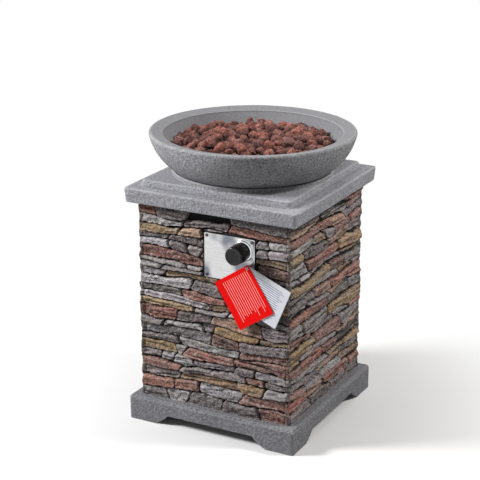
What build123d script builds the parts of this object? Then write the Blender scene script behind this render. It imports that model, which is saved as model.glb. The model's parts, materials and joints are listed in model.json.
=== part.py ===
from build123d import *
import os
import random
from math import atan2, cos, degrees, hypot, pi, radians, sin, sqrt

os.makedirs("parts", exist_ok=True)

# Gas fire pit: a stone-faced column on a footed base, with a square cap and a round bowl of lava rock.
# Millimetres, +Z up, front towards -Y, origin on the floor under the centre of the column.

# Base
base_side = 429.0
base_height = 60.0
base_corner_radius = 6.0
base_edge_bevel = 5.0
base_opening_radius = 160.0
arch_height = 25.0
arch_flat = 222.0
arch_sweep = 35.0
arch_bulge = 3.0

# Column walls
column_side = 386.0
column_height = 473.0
slab_thickness = 9.0
stone_relief = 9.0
relief_variation = 3.0
stone_joint = 2.4
stone_bevel = 2.2
course_wave = 3.2
course_wave_length = 260.0
stone_slant = 4.0
mitre_gap = 0.4

# Courses from the top: height, then the stones from left to right; a minus marks a hollow
front_courses = [
    (26, [43, 88, -105, 150]),
    (18, [120, 110, 156]),
    (20, [106, 60, 67, 67, 28, 58]),
    (20, [75, 91, 70, 64, 30, 56]),
    (20, [78, 50, 38, 67, 67, 86]),
    (24, [166, 70, 64, 86]),
    (13, [118, 48, 64, 70, 86]),
    (13, [62, 104, 67, 67, 86]),
    (16, [70, 140, 90, 86]),
    (20, [138, 75, 90, 83]),
    (22, [116, 108, 70, 92]),
    (20, [180, 70, 70, 66]),
    (14, [140, 90, 70, 86]),
    (27, [98, 88, 130, 70]),
    (14, [68, 102, 22, 118, 76]),
    (26, [185, 70, 131]),
    (20, [102, 160, 124]),
    (24, [96, 24, 128, 138]),
    (20, [54, 34, 50, 108, 50, 90]),
    (18, [108, 170, 42, 66]),
    (24, [106, 150, 64, 66]),
    (28, [88, 66, 112, 120]),
    (26, [70, 60, 86, 90, 80]),
]
side_courses = [
    (18, [150, -108, 128]),
    (20, [170, 130, 86]),
    (22, [205, 80, 101]),
    (24, [120, 62, 50, 84, 70]),
    (24, [70, 130, 110, 76]),
    (28, [90, 170, 126]),
    (14, [60, 66, 150, 110]),
    (24, [208, 80, 98]),
    (19, [140, 120, 72, 54]),
    (22, [130, 86, 170]),
    (12, [100, 110, 80, 96]),
    (24, [106, 104, 110, 66]),
    (30, [76, 128, 182]),
    (18, [120, 115, 80, 71]),
    (27, [136, 140, 110]),
    (16, [60, 196, 130]),
    (26, [126, 60, 74, 126]),
    (16, [205, 90, 91]),
    (18, [160, 120, 106]),
    (20, [90, 80, 110, 106]),
    (26, [106, 84, 140, 56]),
    (25, [120, 110, 90, 66]),
]

# Corner angles and their screws
angle_leg = 25.0
angle_thickness = 2.0
angle_screw_end_distance = 60.0
screw_radius = 2.0
screw_head_radius = 4.0
screw_head_height = 2.4
screw_bite = 7.0
tab_screw_bite = 14.0
screw_clearance = 0.1
angle_screw_inset = 15.0

# Cap
cap_side = 434.0
cap_thickness = 35.0
cap_corner_radius = 9.0
cap_edge_radius = 4.0
cap_undercut = 4.0
cap_pocket_radius = 160.0
cap_skin = 14.0
seat_side = 370.0
seat_height = 15.0
seat_flare = 5.0
seat_corner_radius = 8.0
seat_edge_radius = 3.0

# Bowl
bowl_height = 97.0
bowl_radius = 237.0
bowl_shoulder_drop = 7.0
bowl_rim_round = 4.0
bowl_rim_width = 32.0
bowl_rim_fall = 5.5
bowl_lip_radius = 3.0
bowl_side_flare = 51.0
bowl_foot_height = 9.5
bowl_foot_step = 6.0
bowl_foot_round = 3.5
bowl_belly_bulge = 10.0
bowl_floor_thickness = 17.0
bowl_wall_slope = 47.0
bowl_bolt_circle = 110.0
bowl_bolt_radius = 3.0
bowl_bolt_flats = 10.0
bowl_bolt_head = 4.0
bowl_bolt_bite = 11.0
bowl_washer_radius = 8.0
bowl_washer_thickness = 1.6

# Lava rock
rock_spacing = 29.0
rock_gap = 0.4
rock_layer_height = 31.0
rock_mound_height = 31.0
rock_edge_height = 20.0
rock_height_variation = 4.0
rock_overhang = 2.5
rock_scatter = 0.22
rock_rim_share = 0.3
rock_foot_share = 0.6
rock_waist_height = 12.0
rock_top_share = 0.55
burner_clear_radius = 98.0

# Burner and gas mixer
burner_ring_radius = 80.0
burner_tube_radius = 8.0
burner_tube_wall = 1.2
burner_rise = 22.0
burner_ports = 24
burner_port_radius = 1.3
spoke_radius = 5.5
hub_wall = 3.4
hub_top_cover = 8.0
hub_flange_radius = 38.0
hub_flange_thickness = 3.0
weld_gap = 0.2
mixer_radius = 13.0
mixer_wall = 1.6
mixer_length = 113.0
mixer_slot_width = 8.0
mixer_slot_height = 20.0
thread_clearance = 0.15
mixer_end_gap = 1.0
burner_washer_thickness = 2.0
burner_washer_radius = 38.0
locknut_flats = 36.0
locknut_thickness = 10.0
lead_radius = 1.5
lead_clearance = 0.9

# Gas orifice and supply tube
orifice_spud_radius = 5.0
orifice_spud_length = 8.0
orifice_flats = 16.0
orifice_hex_length = 12.0
orifice_jet_radius = 0.9
tube_radius = 5.0
tube_bore_radius = 4.0
tube_nut_flats = 18.0
tube_nut_length = 16.0
tube_drop = 93.0
tube_low_bend = 42.0
tube_rise_bend = 27.0

# Control plate
plate_width = 126.0
plate_height = 104.0
plate_x = 41.0
plate_z = 433.0
plate_thickness = 1.5
plate_corner_radius = 3.0
plate_set_back = 3.0
plate_margin = 3.0
plate_seat_margin = 1.0
plate_screw_inset = 6.0
plate_screw_bite = 10.0
plate_screw_head_height = 1.8
knob_offset_x = 35.0
knob_offset_z = 24.0

# Valve
valve_flange_side = 40.0
valve_flange_thickness = 6.0
valve_barrel_side = 36.0
valve_barrel_length = 48.0
valve_corner_radius = 3.0
valve_window_clearance = 3.0
valve_nose_radius = 11.0
valve_nose_proud = 1.0
plate_hole_clearance = 2.0
valve_counterbore_radius = 9.5
spring_seat_depth = 15.0
stem_radius = 4.0
stem_flat = 1.0
stem_running_clearance = 0.05
stem_bearing_length = 11.0
plug_radius = 9.0
plug_length = 22.0
plug_clearance = 0.4
plug_front_clearance = 1.5
valve_port_radius = 3.0
valve_boss_radius = 9.0
valve_boss_length = 6.0
outlet_distance = 18.0
valve_cap_thickness = 5.0
valve_cap_screw_spread = 13.0
bezel_screw_clearance = 1.4
valve_screw_bite = 5.0
small_screw_radius = 1.6
small_screw_head_radius = 3.0
small_screw_head_height = 2.0

# Return spring and thrust washer
spring_wire_radius = 0.7
spring_coil_radius = 6.6
spring_turns = 5
thrust_washer_radius = 8.6
thrust_washer_thickness = 1.5
thrust_washer_clearance = 0.4
thrust_gap = 0.1

# Knob and bezel
push_travel = 3.0
bezel_radius = 24.5
bezel_height = 8.0
bezel_wall = 2.0
bezel_edge_radius = 4.0
knob_radius = 22.0
knob_front_radius = 20.5
knob_length = 34.0
knob_edge_radius = 2.5
knob_dish_radius = 16.0
knob_dish_depth = 1.2
knob_neck_radius = 8.0
knob_bore_depth = 14.0
bezel_neck_clearance = 2.5
pointer_width = 2.0
pointer_length = 10.0
pointer_depth = 1.5
pointer_start = 5.0

# Gas inlet
inlet_flare_radius = 7.94
inlet_thread_length = 15.0
inlet_cone_length = 4.0
inlet_cone_radius = 4.5
inlet_elbow_side = 20.0
inlet_elbow_corner_radius = 2.0
inlet_thread_depth = 1.0
inlet_bore_radius = 3.5

# Igniter and thermocouple
piezo_radius = 9.0
piezo_length = 46.0
piezo_start = 10.5
piezo_foot_width = 14.0
piezo_foot_height = 0.8
piezo_terminal_radius = 2.0
piezo_terminal_length = 6.0
sensor_rise = 17.0
insulator_radius = 3.5
insulator_length = 26.0
electrode_radius = 1.0
spark_gap = 3.0
thermocouple_radius = 2.5
thermocouple_length = 30.0
thermocouple_nut_flats = 10.0
thermocouple_nut_length = 10.0
thermocouple_boss_radius = 6.0
sensor_start = 34.0
bracket_distance = 49.0
bracket_width = 40.0
bracket_height = 23.0
bracket_thickness = 1.5
bracket_foot_width = 14.0
bracket_foot_reach = 22.0
bracket_screw_distance = 31.0
bracket_hole_clearance = 0.15

# Hang tags
tag_width = 98.0
tag_length = 120.0
tag_thickness = 0.8
tag_gap = 0.6
tag_corner_radius = 3.0
tag_hole_radius = 2.2
tag_hole_inset = 7.0
tag_drop = 38.5
tag_loop_angle = 24.6
red_tag_angle = -5.5
white_tag_angle = 29.0
loop_wire_radius = 0.8
loop_neck_gap = 0.4
loop_side_gap = 1.6
loop_bezel_gap = 1.0
loop_knob_gap = 0.6
loop_lock_width = 4.0
loop_lock_thickness = 2.0
loop_lock_length = 5.0
loop_lock_distance = 25.0
loop_straight = 6.0
loop_button_radius = 3.6
loop_button_thickness = 1.2
loop_rest_gap = 0.3

# Heights above the floor
base_top = base_height
column_top = base_top + column_height
cap_top = column_top + cap_thickness
seat_top = cap_top + seat_height
pocket_top = seat_top - cap_skin
bowl_floor = seat_top + bowl_floor_thickness
rim_top = seat_top + bowl_height
lip_top = rim_top - bowl_rim_fall
lip_low = lip_top - bowl_lip_radius

# Distances out from the column's axis
wall_face = column_side / 2
wall_inner = wall_face - slab_thickness - stone_relief
slab_front = wall_inner + slab_thickness
stone_reach = slab_front + stone_relief + relief_variation
bowl_rim_flat_radius = bowl_radius - bowl_rim_round
bowl_mouth_radius = bowl_radius - bowl_rim_width
bowl_floor_radius = bowl_mouth_radius - bowl_wall_slope
bowl_foot_radius = bowl_radius - bowl_side_flare

# Planes of the controls, counted along Y from the plate's face forwards
plate_front = -(wall_face - plate_set_back)
plate_back = plate_front + plate_thickness
plate_left = plate_x - plate_width / 2
plate_right = plate_x + plate_width / 2
plate_low = plate_z - plate_height / 2
plate_high = plate_z + plate_height / 2
knob_x = plate_x + knob_offset_x
knob_z = plate_z + knob_offset_z
nose_front = plate_front - valve_nose_proud
spring_seat = nose_front + spring_seat_depth
bearing_back = spring_seat + stem_bearing_length
flange_back = plate_back + valve_flange_thickness
barrel_back = flange_back + valve_barrel_length
barrel_top = knob_z + valve_barrel_side / 2
barrel_low = knob_z - valve_barrel_side / 2
valve_cap_back = barrel_back + valve_cap_thickness
outlet_y = barrel_back - outlet_distance
plug_front = bearing_back + plug_front_clearance
bezel_front = plate_front - bezel_height
loop_y = bezel_front - loop_bezel_gap - loop_wire_radius
knob_rear = loop_y - loop_wire_radius - loop_knob_gap - push_travel
knob_front = knob_rear - knob_length
washer_front = nose_front - thrust_washer_thickness
neck_rear = washer_front - thrust_gap
valve_screw_circle = bezel_radius - bezel_wall - small_screw_head_radius - bezel_screw_clearance
valve_screw_spread = valve_screw_circle / sqrt(2)
stem_front = knob_rear - knob_bore_depth

# Burner stack on the column's axis
flange_top = bowl_floor + hub_flange_thickness
burner_z = bowl_floor + burner_rise
hub_radius = mixer_radius + thread_clearance + hub_wall
hub_top = burner_z + hub_top_cover
hub_bore_top = burner_z - hub_wall
mixer_top = hub_bore_top - mixer_end_gap
mixer_bottom = mixer_top - mixer_length
burner_washer_low = pocket_top - burner_washer_thickness
locknut_low = burner_washer_low - locknut_thickness
locknut_corner = locknut_flats / sqrt(3)
lead_distance = locknut_corner + lead_radius + lead_clearance
lead_hole_radius = lead_radius + lead_clearance
centre_hole_radius = lead_distance + lead_hole_radius + lead_clearance
lead_x = lead_distance * 0.5
lead_y = -lead_distance * sqrt(3) / 2
sensor_z = bowl_floor + sensor_rise
orifice_hex_low = mixer_bottom - orifice_hex_length
tube_nut_low = orifice_hex_low - tube_nut_length


def save(node, shape):
    export_step(shape, f"parts/{node}.step")


def rod(radius, start, end):
    """Round bar between two points."""
    along = Vector(*end) - Vector(*start)
    return Solid.make_cylinder(radius, along.length, Plane(Vector(*start), z_dir=along))


def pipe(radius, bore, start, end):
    """Round tube between two points."""
    return rod(radius, start, end) - rod(bore, start, end)


def hex_bar(flats, start, end):
    """Hexagon bar between two points, by its width across flats."""
    along = Vector(*end) - Vector(*start)
    section = Plane(Vector(*start), z_dir=along) * RegularPolygon(flats / 2, 6, major_radius=False)
    return extrude(section, amount=along.length)


def block(low, high):
    """Box between two opposite corners."""
    size = Vector(*high) - Vector(*low)
    middle = (Vector(*high) + Vector(*low)) / 2
    return Pos(middle.X, middle.Y, middle.Z) * Box(size.X, size.Y, size.Z)


def screw(seat, into, length, radius=screw_radius, head_radius=screw_head_radius, head=screw_head_height):
    """Round-headed screw: the head sits on the seat point and the shank runs into the work."""
    seat = Vector(*seat)
    into = Vector(*into)
    shank = rod(radius, seat, seat + into * length)
    cap = rod(head_radius, seat - into * head, seat)
    edge = cap.edges().sort_by(lambda e: (e.center() - seat).dot(into))[0]
    return fillet(edge, head / 2) + shank


def closed_solid(rings):
    """Solid of flat faces between successive rings of points, closed at both ends."""
    faces = [Face(Wire.make_polygon(rings[0])), Face(Wire.make_polygon(rings[-1]))]
    for lower, upper in zip(rings, rings[1:]):
        for i in range(len(lower)):
            corners = [lower[i - 1], lower[i], upper[i], upper[i - 1]]
            faces.append(Face(Wire.make_polygon(corners)))
    return Solid(Shell(faces))


def inset(outline, distance):
    """Move every side of an anticlockwise outline inwards by a distance."""
    moved = []
    for i, here in enumerate(outline):
        before = outline[i - 1]
        after = outline[(i + 1) % len(outline)]
        side_in = (Vector(*here) - Vector(*before)).normalized()
        side_out = (Vector(*after) - Vector(*here)).normalized()
        normal_in = Vector(-side_in.Y, side_in.X)
        normal_out = Vector(-side_out.Y, side_out.X)
        shift = (normal_in + normal_out) * (distance / (1 + normal_in.dot(normal_out)))
        moved.append((here[0] + shift.X, here[1] + shift.Y))
    return moved


def bent_bar(name, radius, points, radii):
    """Round bar along straight runs joined by arcs; its volume is compared with section times length."""
    path = FilletPolyline(*points, radius=radii)
    start = Plane(path @ 0, z_dir=path % 0)
    bar = sweep(start * Circle(radius), path=path)
    share = bar.volume / (pi * radius**2 * path.length)
    print(f"{name}: bends {radii}, length {path.length:.1f}, volume share {share:.4f}")
    return bar


def small_screw(seat, into, length):
    """Screw of the size used on the valve and the sensor bracket."""
    return screw(seat, into, length, small_screw_radius, small_screw_head_radius, small_screw_head_height)


# Base

def make_base():
    plinth = block((-base_side / 2, -base_side / 2, 0), (base_side / 2, base_side / 2, base_height))
    plinth = fillet(plinth.edges().filter_by(Axis.Z), base_corner_radius)
    plinth = chamfer(plinth.faces().sort_by(Axis.Z)[-1].edges(), base_edge_bevel)
    plinth -= rod(base_opening_radius, (0, 0, 0), (0, 0, base_height))
    flat_end = arch_flat / 2
    floor_end = flat_end + arch_sweep
    slope = hypot(arch_sweep, arch_height)
    middle_x = (flat_end + floor_end) / 2 - arch_bulge * arch_height / slope
    middle_z = arch_height / 2 - arch_bulge * arch_sweep / slope
    below = -base_edge_bevel
    outline = [
        ThreePointArc((floor_end, 0, 0), (middle_x, 0, middle_z), (flat_end, 0, arch_height)),
        Line((flat_end, 0, arch_height), (-flat_end, 0, arch_height)),
        ThreePointArc((-flat_end, 0, arch_height), (-middle_x, 0, middle_z), (-floor_end, 0, 0)),
        Polyline((-floor_end, 0, 0), (-floor_end, 0, below), (floor_end, 0, below), (floor_end, 0, 0)),
    ]
    arch = extrude(make_face(outline), amount=base_side, both=True)
    plinth -= arch
    plinth -= arch.rotate(Axis.Z, 90)
    for x, y in corner_points(tab_screw_place):
        plinth -= rod(screw_radius + screw_clearance, (x, y, base_top - tab_screw_bite), (x, y, base_top))
    return plinth


# Column walls

def course_lines(courses):
    """Heights of the joint lines, scaled so that the courses fill the column."""
    total = sum(height for height, stones in courses)
    lines = [column_top]
    for height, stones in courses:
        lines.append(lines[-1] - height * column_height / total)
    return lines


def joint_height(lines, line, across):
    """Height of a wavy joint line at a place across the wall; the top and bottom lines are straight."""
    wave = course_wave if 0 < line < len(lines) - 1 else 0
    return lines[line] + wave * sin(2 * pi * across / course_wave_length + line)


def make_stone(lines, course, number, left, right):
    """One stone of the front wall, bevelled towards its face."""
    half_joint = stone_joint / 2
    slant_left = stone_slant * sin(2.3 * number + 1.1 * course)
    slant_right = stone_slant * sin(2.3 * (number + 1) + 1.1 * course)
    middle = (left + right) / 2
    low = [(across, joint_height(lines, course + 1, across) + half_joint) for across in
           (left + half_joint + slant_left, middle, right - half_joint + slant_right)]
    high = [(across, joint_height(lines, course, across) - half_joint) for across in
            (right - half_joint - slant_right, middle, left + half_joint - slant_left)]
    outline = low + high
    relief = stone_relief + relief_variation * sin(7.1 * number + 3.7 * course)
    back = -(slab_front - stone_bevel)
    face = -(slab_front + relief)
    step = face + stone_bevel
    rings = [
        [(u, back, v) for u, v in outline],
        [(u, step, v) for u, v in outline],
        [(u, face, v) for u, v in inset(outline, stone_bevel)],
    ]
    return closed_solid(rings)


def make_wall(courses, mirrored):
    """A wall as it stands at the front: a slab with its stones, cut to the corner mitres."""
    lines = course_lines(courses)
    run_out = stone_reach - wall_face + stone_bevel + stone_slant + stone_joint
    stones = []
    for course, (height, lengths) in enumerate(courses):
        order = lengths[::-1] if mirrored else lengths
        scale = column_side / sum(abs(length) for length in order)
        left = -wall_face
        for number, length in enumerate(order):
            right = left + abs(length) * scale
            start = left - run_out if number == 0 else left
            end = right + run_out if number == len(order) - 1 else right
            if length > 0:
                stones.append(make_stone(lines, course, number, start, end))
            left = right
    outer = stone_reach + run_out
    slab = block((-outer, -slab_front, base_top), (outer, -wall_inner, column_top))
    corner = mitre_gap / sqrt(2)
    mitre = [
        (corner - wall_inner, -wall_inner),
        (corner - outer, -outer),
        (outer - corner, -outer),
        (wall_inner - corner, -wall_inner),
    ]
    wedge = extrude(Pos(0, 0, base_top) * make_face(Polyline(*mitre, close=True)), amount=column_height)
    wall = slab.fuse(*stones) & wedge
    for across in (-angle_screw_place, angle_screw_place):
        for height in angle_screw_heights:
            tip = -(wall_inner + screw_bite)
            wall -= rod(screw_radius + screw_clearance, (across, -wall_inner, height), (across, tip, height))
    return wall


def make_front_wall():
    wall = make_wall(front_courses, False)
    beyond = -(stone_reach + relief_variation)
    wall -= block(
        (plate_left - plate_margin, beyond, plate_low - plate_margin),
        (plate_right + plate_margin, -slab_front, plate_high + plate_margin),
    )
    wall += block(
        (plate_left + plate_seat_margin, plate_back, plate_low + plate_seat_margin),
        (plate_right - plate_seat_margin, -slab_front, plate_high - plate_seat_margin),
    )
    half = valve_flange_side / 2 + valve_window_clearance
    wall -= block((knob_x - half, beyond, knob_z - half), (knob_x + half, -wall_inner, knob_z + half))
    tip = plate_front + plate_screw_bite
    for x, z in plate_screw_points():
        wall -= rod(screw_radius + screw_clearance, (x, plate_back, z), (x, tip, z))
    return wall


# Corner angles and their fasteners

tab_screw_place = wall_inner - angle_leg / 2
angle_screw_place = wall_inner - angle_screw_inset
angle_screw_heights = [
    base_top + angle_screw_end_distance,
    (base_top + column_top) / 2,
    column_top - angle_screw_end_distance,
]


def corner_points(place):
    """The four points at a distance from the axis along X and along Y."""
    return [(place, place), (-place, place), (-place, -place), (place, -place)]


def make_angle():
    """Angle of the rear right corner, with a tab at each end."""
    inner = wall_inner - angle_leg
    leaf = wall_inner - angle_thickness
    angle = block((inner, leaf, base_top), (wall_inner, wall_inner, column_top))
    angle += block((leaf, inner, base_top), (wall_inner, wall_inner, column_top))
    angle += block((inner, inner, base_top), (wall_inner, wall_inner, base_top + angle_thickness))
    angle += block((inner, inner, column_top - angle_thickness), (wall_inner, wall_inner, column_top))
    hole = screw_radius + screw_clearance
    place = tab_screw_place
    angle -= rod(hole, (place, place, base_top), (place, place, base_top + angle_thickness))
    angle -= rod(hole, (place, place, column_top - angle_thickness), (place, place, column_top))
    for height in angle_screw_heights:
        angle -= rod(hole, (angle_screw_place, leaf, height), (angle_screw_place, wall_inner, height))
        angle -= rod(hole, (leaf, angle_screw_place, height), (wall_inner, angle_screw_place, height))
    return angle


def make_panel_screws():
    leaf = wall_inner - angle_thickness
    length = angle_thickness + screw_bite
    screws = []
    for quarter in range(4):
        for height in angle_screw_heights:
            into_rear = screw((angle_screw_place, leaf, height), (0, 1, 0), length)
            into_side = screw((leaf, angle_screw_place, height), (1, 0, 0), length)
            screws.append(into_rear.rotate(Axis.Z, 90 * quarter))
            screws.append(into_side.rotate(Axis.Z, 90 * quarter))
    return Compound(screws)


def make_tab_screws(seat, into):
    length = angle_thickness + tab_screw_bite
    return Compound([screw((x, y, seat), into, length) for x, y in corner_points(tab_screw_place)])


# Cap and bowl

def bolt_points():
    reach = bowl_bolt_circle / sqrt(2)
    return corner_points(reach)


def make_cap():
    top = Pos(0, 0, cap_top) * RectangleRounded(cap_side, cap_side, cap_corner_radius)
    draft = degrees(atan2(cap_undercut, cap_thickness))
    slab = extrude(top, amount=cap_thickness, dir=(0, 0, -1), taper=draft)
    slab = fillet(slab.faces().sort_by(Axis.Z)[-1].edges(), cap_edge_radius)
    foot_side = seat_side + 2 * seat_flare
    foot = Pos(0, 0, cap_top) * RectangleRounded(foot_side, foot_side, seat_corner_radius + seat_flare)
    seat = extrude(foot, amount=seat_height, taper=degrees(atan2(seat_flare, seat_height)))
    seat = fillet(seat.faces().sort_by(Axis.Z)[-1].edges(), seat_edge_radius)
    cap = slab + seat
    cap -= rod(cap_pocket_radius, (0, 0, column_top), (0, 0, pocket_top))
    cap -= rod(centre_hole_radius, (0, 0, pocket_top), (0, 0, seat_top))
    hole = bowl_bolt_radius + screw_clearance
    for x, y in bolt_points():
        cap -= rod(hole, (x, y, pocket_top), (x, y, seat_top))
    for x, y in corner_points(tab_screw_place):
        cap -= rod(screw_radius + screw_clearance, (x, y, column_top), (x, y, column_top + tab_screw_bite))
    return cap


def bowl_wall_radius(height):
    """Radius of the bowl's inner wall at a height."""
    rise = (height - bowl_floor) / (lip_low - bowl_floor)
    return bowl_floor_radius + (bowl_mouth_radius - bowl_floor_radius) * rise


def make_bowl():
    foot_top = seat_top + bowl_foot_height
    foot_side = foot_top - bowl_foot_round
    foot_edge = bowl_foot_radius - bowl_foot_round
    foot_middle = bowl_foot_round * sqrt(0.5)
    waist = bowl_foot_radius - bowl_foot_step
    shoulder = rim_top - bowl_shoulder_drop
    run = hypot(bowl_radius - waist, shoulder - foot_top)
    belly_x = (waist + bowl_radius) / 2 + bowl_belly_bulge * (shoulder - foot_top) / run
    belly_z = (foot_top + shoulder) / 2 - bowl_belly_bulge * (bowl_radius - waist) / run
    rim_x = bowl_rim_flat_radius + bowl_rim_round * sqrt(0.5)
    rim_z = shoulder + bowl_shoulder_drop * sqrt(0.5)
    lip_middle = bowl_lip_radius * (1 - sqrt(0.5))
    profile = [
        Polyline((0, 0, bowl_floor), (0, 0, seat_top), (bowl_foot_radius, 0, seat_top),
                 (bowl_foot_radius, 0, foot_side)),
        ThreePointArc((bowl_foot_radius, 0, foot_side),
                      (foot_edge + foot_middle, 0, foot_side + foot_middle),
                      (foot_edge, 0, foot_top)),
        Line((foot_edge, 0, foot_top), (waist, 0, foot_top)),
        ThreePointArc((waist, 0, foot_top), (belly_x, 0, belly_z), (bowl_radius, 0, shoulder)),
        ThreePointArc((bowl_radius, 0, shoulder), (rim_x, 0, rim_z), (bowl_rim_flat_radius, 0, rim_top)),
        Line((bowl_rim_flat_radius, 0, rim_top), (bowl_mouth_radius + bowl_lip_radius, 0, lip_top)),
        ThreePointArc((bowl_mouth_radius + bowl_lip_radius, 0, lip_top),
                      (bowl_mouth_radius + lip_middle, 0, lip_top - lip_middle),
                      (bowl_mouth_radius, 0, lip_low)),
        Polyline((bowl_mouth_radius, 0, lip_low), (bowl_floor_radius, 0, bowl_floor), (0, 0, bowl_floor)),
    ]
    bowl = revolve(make_face(profile), axis=Axis.Z)
    bowl -= rod(centre_hole_radius, (0, 0, seat_top), (0, 0, bowl_floor))
    for x, y in bolt_points():
        bowl -= rod(bowl_bolt_radius + screw_clearance, (x, y, seat_top), (x, y, seat_top + bowl_bolt_bite))
    return bowl


def make_bowl_bolts():
    washer_low = pocket_top - bowl_washer_thickness
    bolts = []
    for x, y in bolt_points():
        head = hex_bar(bowl_bolt_flats, (x, y, washer_low - bowl_bolt_head), (x, y, washer_low))
        shank = rod(bowl_bolt_radius, (x, y, washer_low), (x, y, seat_top + bowl_bolt_bite))
        bolts.append(head + shank)
    return Compound(bolts)


def make_bowl_washers():
    low = pocket_top - bowl_washer_thickness
    bore = bowl_bolt_radius + screw_clearance
    washers = [pipe(bowl_washer_radius, bore, (x, y, low), (x, y, pocket_top)) for x, y in bolt_points()]
    return Compound(washers)


# Lava rock

def clip(outline, point, normal):
    """Keep the part of an outline that lies behind a line."""
    kept = []
    sides = [(Vector(*corner) - point).dot(normal) for corner in outline]
    for i, (x, y) in enumerate(outline):
        last_x, last_y = outline[i - 1]
        if sides[i - 1] * sides[i] < 0:
            share = sides[i - 1] / (sides[i - 1] - sides[i])
            kept.append((last_x + (x - last_x) * share, last_y + (y - last_y) * share))
        if sides[i] <= 0:
            kept.append((x, y))
    return kept


def rock_cells(reach, hollow, seed):
    """Outlines of rocks that share a round space, a small gap apart."""
    chance = random.Random(seed)
    row_step = rock_spacing * sqrt(3) / 2
    rows = int(reach / row_step) + 2
    seeds = []
    for row in range(-rows, rows + 1):
        for column in range(-rows - 1, rows + 2):
            shift = chance.uniform(-rock_scatter, rock_scatter)
            x = (column + 0.5 * (row % 2) + shift) * rock_spacing
            y = (row + chance.uniform(-rock_scatter, rock_scatter)) * row_step
            seeds.append(Vector(x, y))
    ring = [(reach * cos(2 * pi * i / 60), reach * sin(2 * pi * i / 60)) for i in range(60)]
    cells = []
    for place in seeds:
        if not hollow <= place.length <= reach - rock_spacing * rock_rim_share:
            continue
        outline = ring
        for other in seeds:
            between = other - place
            if 0 < between.length < 3 * rock_spacing:
                normal = between.normalized()
                outline = clip(outline, place + between / 2 - normal * (rock_gap / 2), normal)
        cells.append(outline)
    return cells


def make_rock(outline, low, high):
    """Faceted stone over an outline, drawn in towards its top and bottom."""
    middle_x = sum(x for x, y in outline) / len(outline)
    middle_y = sum(y for x, y in outline) / len(outline)

    def ring(share, height):
        drawn = [(middle_x + (x - middle_x) * share, middle_y + (y - middle_y) * share) for x, y in outline]
        return [(x, y, height) for x, y in drawn]

    waist = low + rock_waist_height
    return closed_solid([ring(rock_foot_share, low), ring(1, waist), ring(rock_top_share, high)])


def make_rocks():
    chance = random.Random(11)
    rocks = []
    layer_low = bowl_floor + rock_gap
    layer_high = bowl_floor + rock_layer_height
    lower_reach = bowl_wall_radius(layer_low) + rock_overhang
    for outline in rock_cells(lower_reach, burner_clear_radius + rock_spacing / 2, 3):
        rocks.append(make_rock(outline, layer_low, layer_high))
    low = layer_high + rock_gap
    upper_reach = bowl_wall_radius(low) + rock_overhang
    for outline in rock_cells(upper_reach, 0, 5):
        distance = min(hypot(x, y) for x, y in outline) / upper_reach
        crown = rock_edge_height + (rock_mound_height - rock_edge_height) * (1 - distance**2)
        high = low + crown - chance.uniform(0, rock_height_variation)
        rocks.append(make_rock(outline, low, high))
    return Compound(rocks)


# Burner

def make_burner_ring():
    """Hollow ring in two welded halves, with a row of gas ports along its top."""
    section = Circle(burner_tube_radius) - Circle(burner_tube_radius - burner_tube_wall)
    upright = Plane((burner_ring_radius, 0, burner_z), z_dir=(0, -1, 0))
    half = revolve(upright * section, axis=Axis.Z, revolution_arc=180)
    top = burner_z + 2 * burner_tube_radius
    port = rod(burner_port_radius, (burner_ring_radius, 0, burner_z), (burner_ring_radius, 0, top))
    step = 360 / burner_ports
    half -= [port.rotate(Axis.Z, step * (i + 0.5)) for i in range(burner_ports // 2)]
    return Compound([half, half.rotate(Axis.Z, 180)])


def make_burner_hub():
    hub = rod(hub_flange_radius, (0, 0, bowl_floor), (0, 0, flange_top))
    hub += rod(hub_radius, (0, 0, flange_top), (0, 0, hub_top))
    for angle in (90, 210, 330):
        hub += rod(spoke_radius, (0, 0, burner_z), (burner_ring_radius, 0, burner_z)).rotate(Axis.Z, angle)
    hub -= Pos(0, 0, burner_z) * Torus(burner_ring_radius, burner_tube_radius + weld_gap)
    weld_radius = burner_ring_radius - burner_tube_radius / 2
    hub -= pipe(2 * burner_ring_radius, weld_radius, (0, 0, bowl_floor), (0, 0, hub_top))
    hub -= rod(mixer_radius + thread_clearance, (0, 0, bowl_floor), (0, 0, hub_bore_top))
    for side in (-1, 1):
        hub -= rod(lead_hole_radius, (side * lead_x, lead_y, bowl_floor), (side * lead_x, lead_y, flange_top))
    bracket_y = -bracket_screw_distance
    hub -= rod(small_screw_radius + screw_clearance, (0, bracket_y, bowl_floor), (0, bracket_y, flange_top))
    return hub


def make_mixer():
    inside = mixer_radius - mixer_wall
    mixer = rod(mixer_radius, (0, 0, mixer_bottom), (0, 0, mixer_top))
    floor_top = mixer_bottom + 2 * mixer_wall
    mixer -= rod(inside, (0, 0, floor_top), (0, 0, mixer_top))
    mixer -= rod(orifice_spud_radius + thread_clearance, (0, 0, mixer_bottom), (0, 0, floor_top))
    slot_low = mixer_bottom + orifice_spud_length + mixer_wall
    half = mixer_slot_width / 2
    mixer -= block((-mixer_radius, -half, slot_low), (mixer_radius, half, slot_low + mixer_slot_height))
    mixer -= block((-half, -mixer_radius, slot_low), (half, mixer_radius, slot_low + mixer_slot_height))
    return mixer


def make_burner_washer():
    bore = mixer_radius + thread_clearance
    washer = pipe(burner_washer_radius, bore, (0, 0, burner_washer_low), (0, 0, pocket_top))
    for side in (-1, 1):
        x = side * lead_x
        washer -= rod(lead_hole_radius, (x, lead_y, burner_washer_low), (x, lead_y, pocket_top))
    return washer


def make_locknut():
    nut = hex_bar(locknut_flats, (0, 0, locknut_low), (0, 0, burner_washer_low))
    return nut - rod(mixer_radius + thread_clearance, (0, 0, locknut_low), (0, 0, burner_washer_low))


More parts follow.
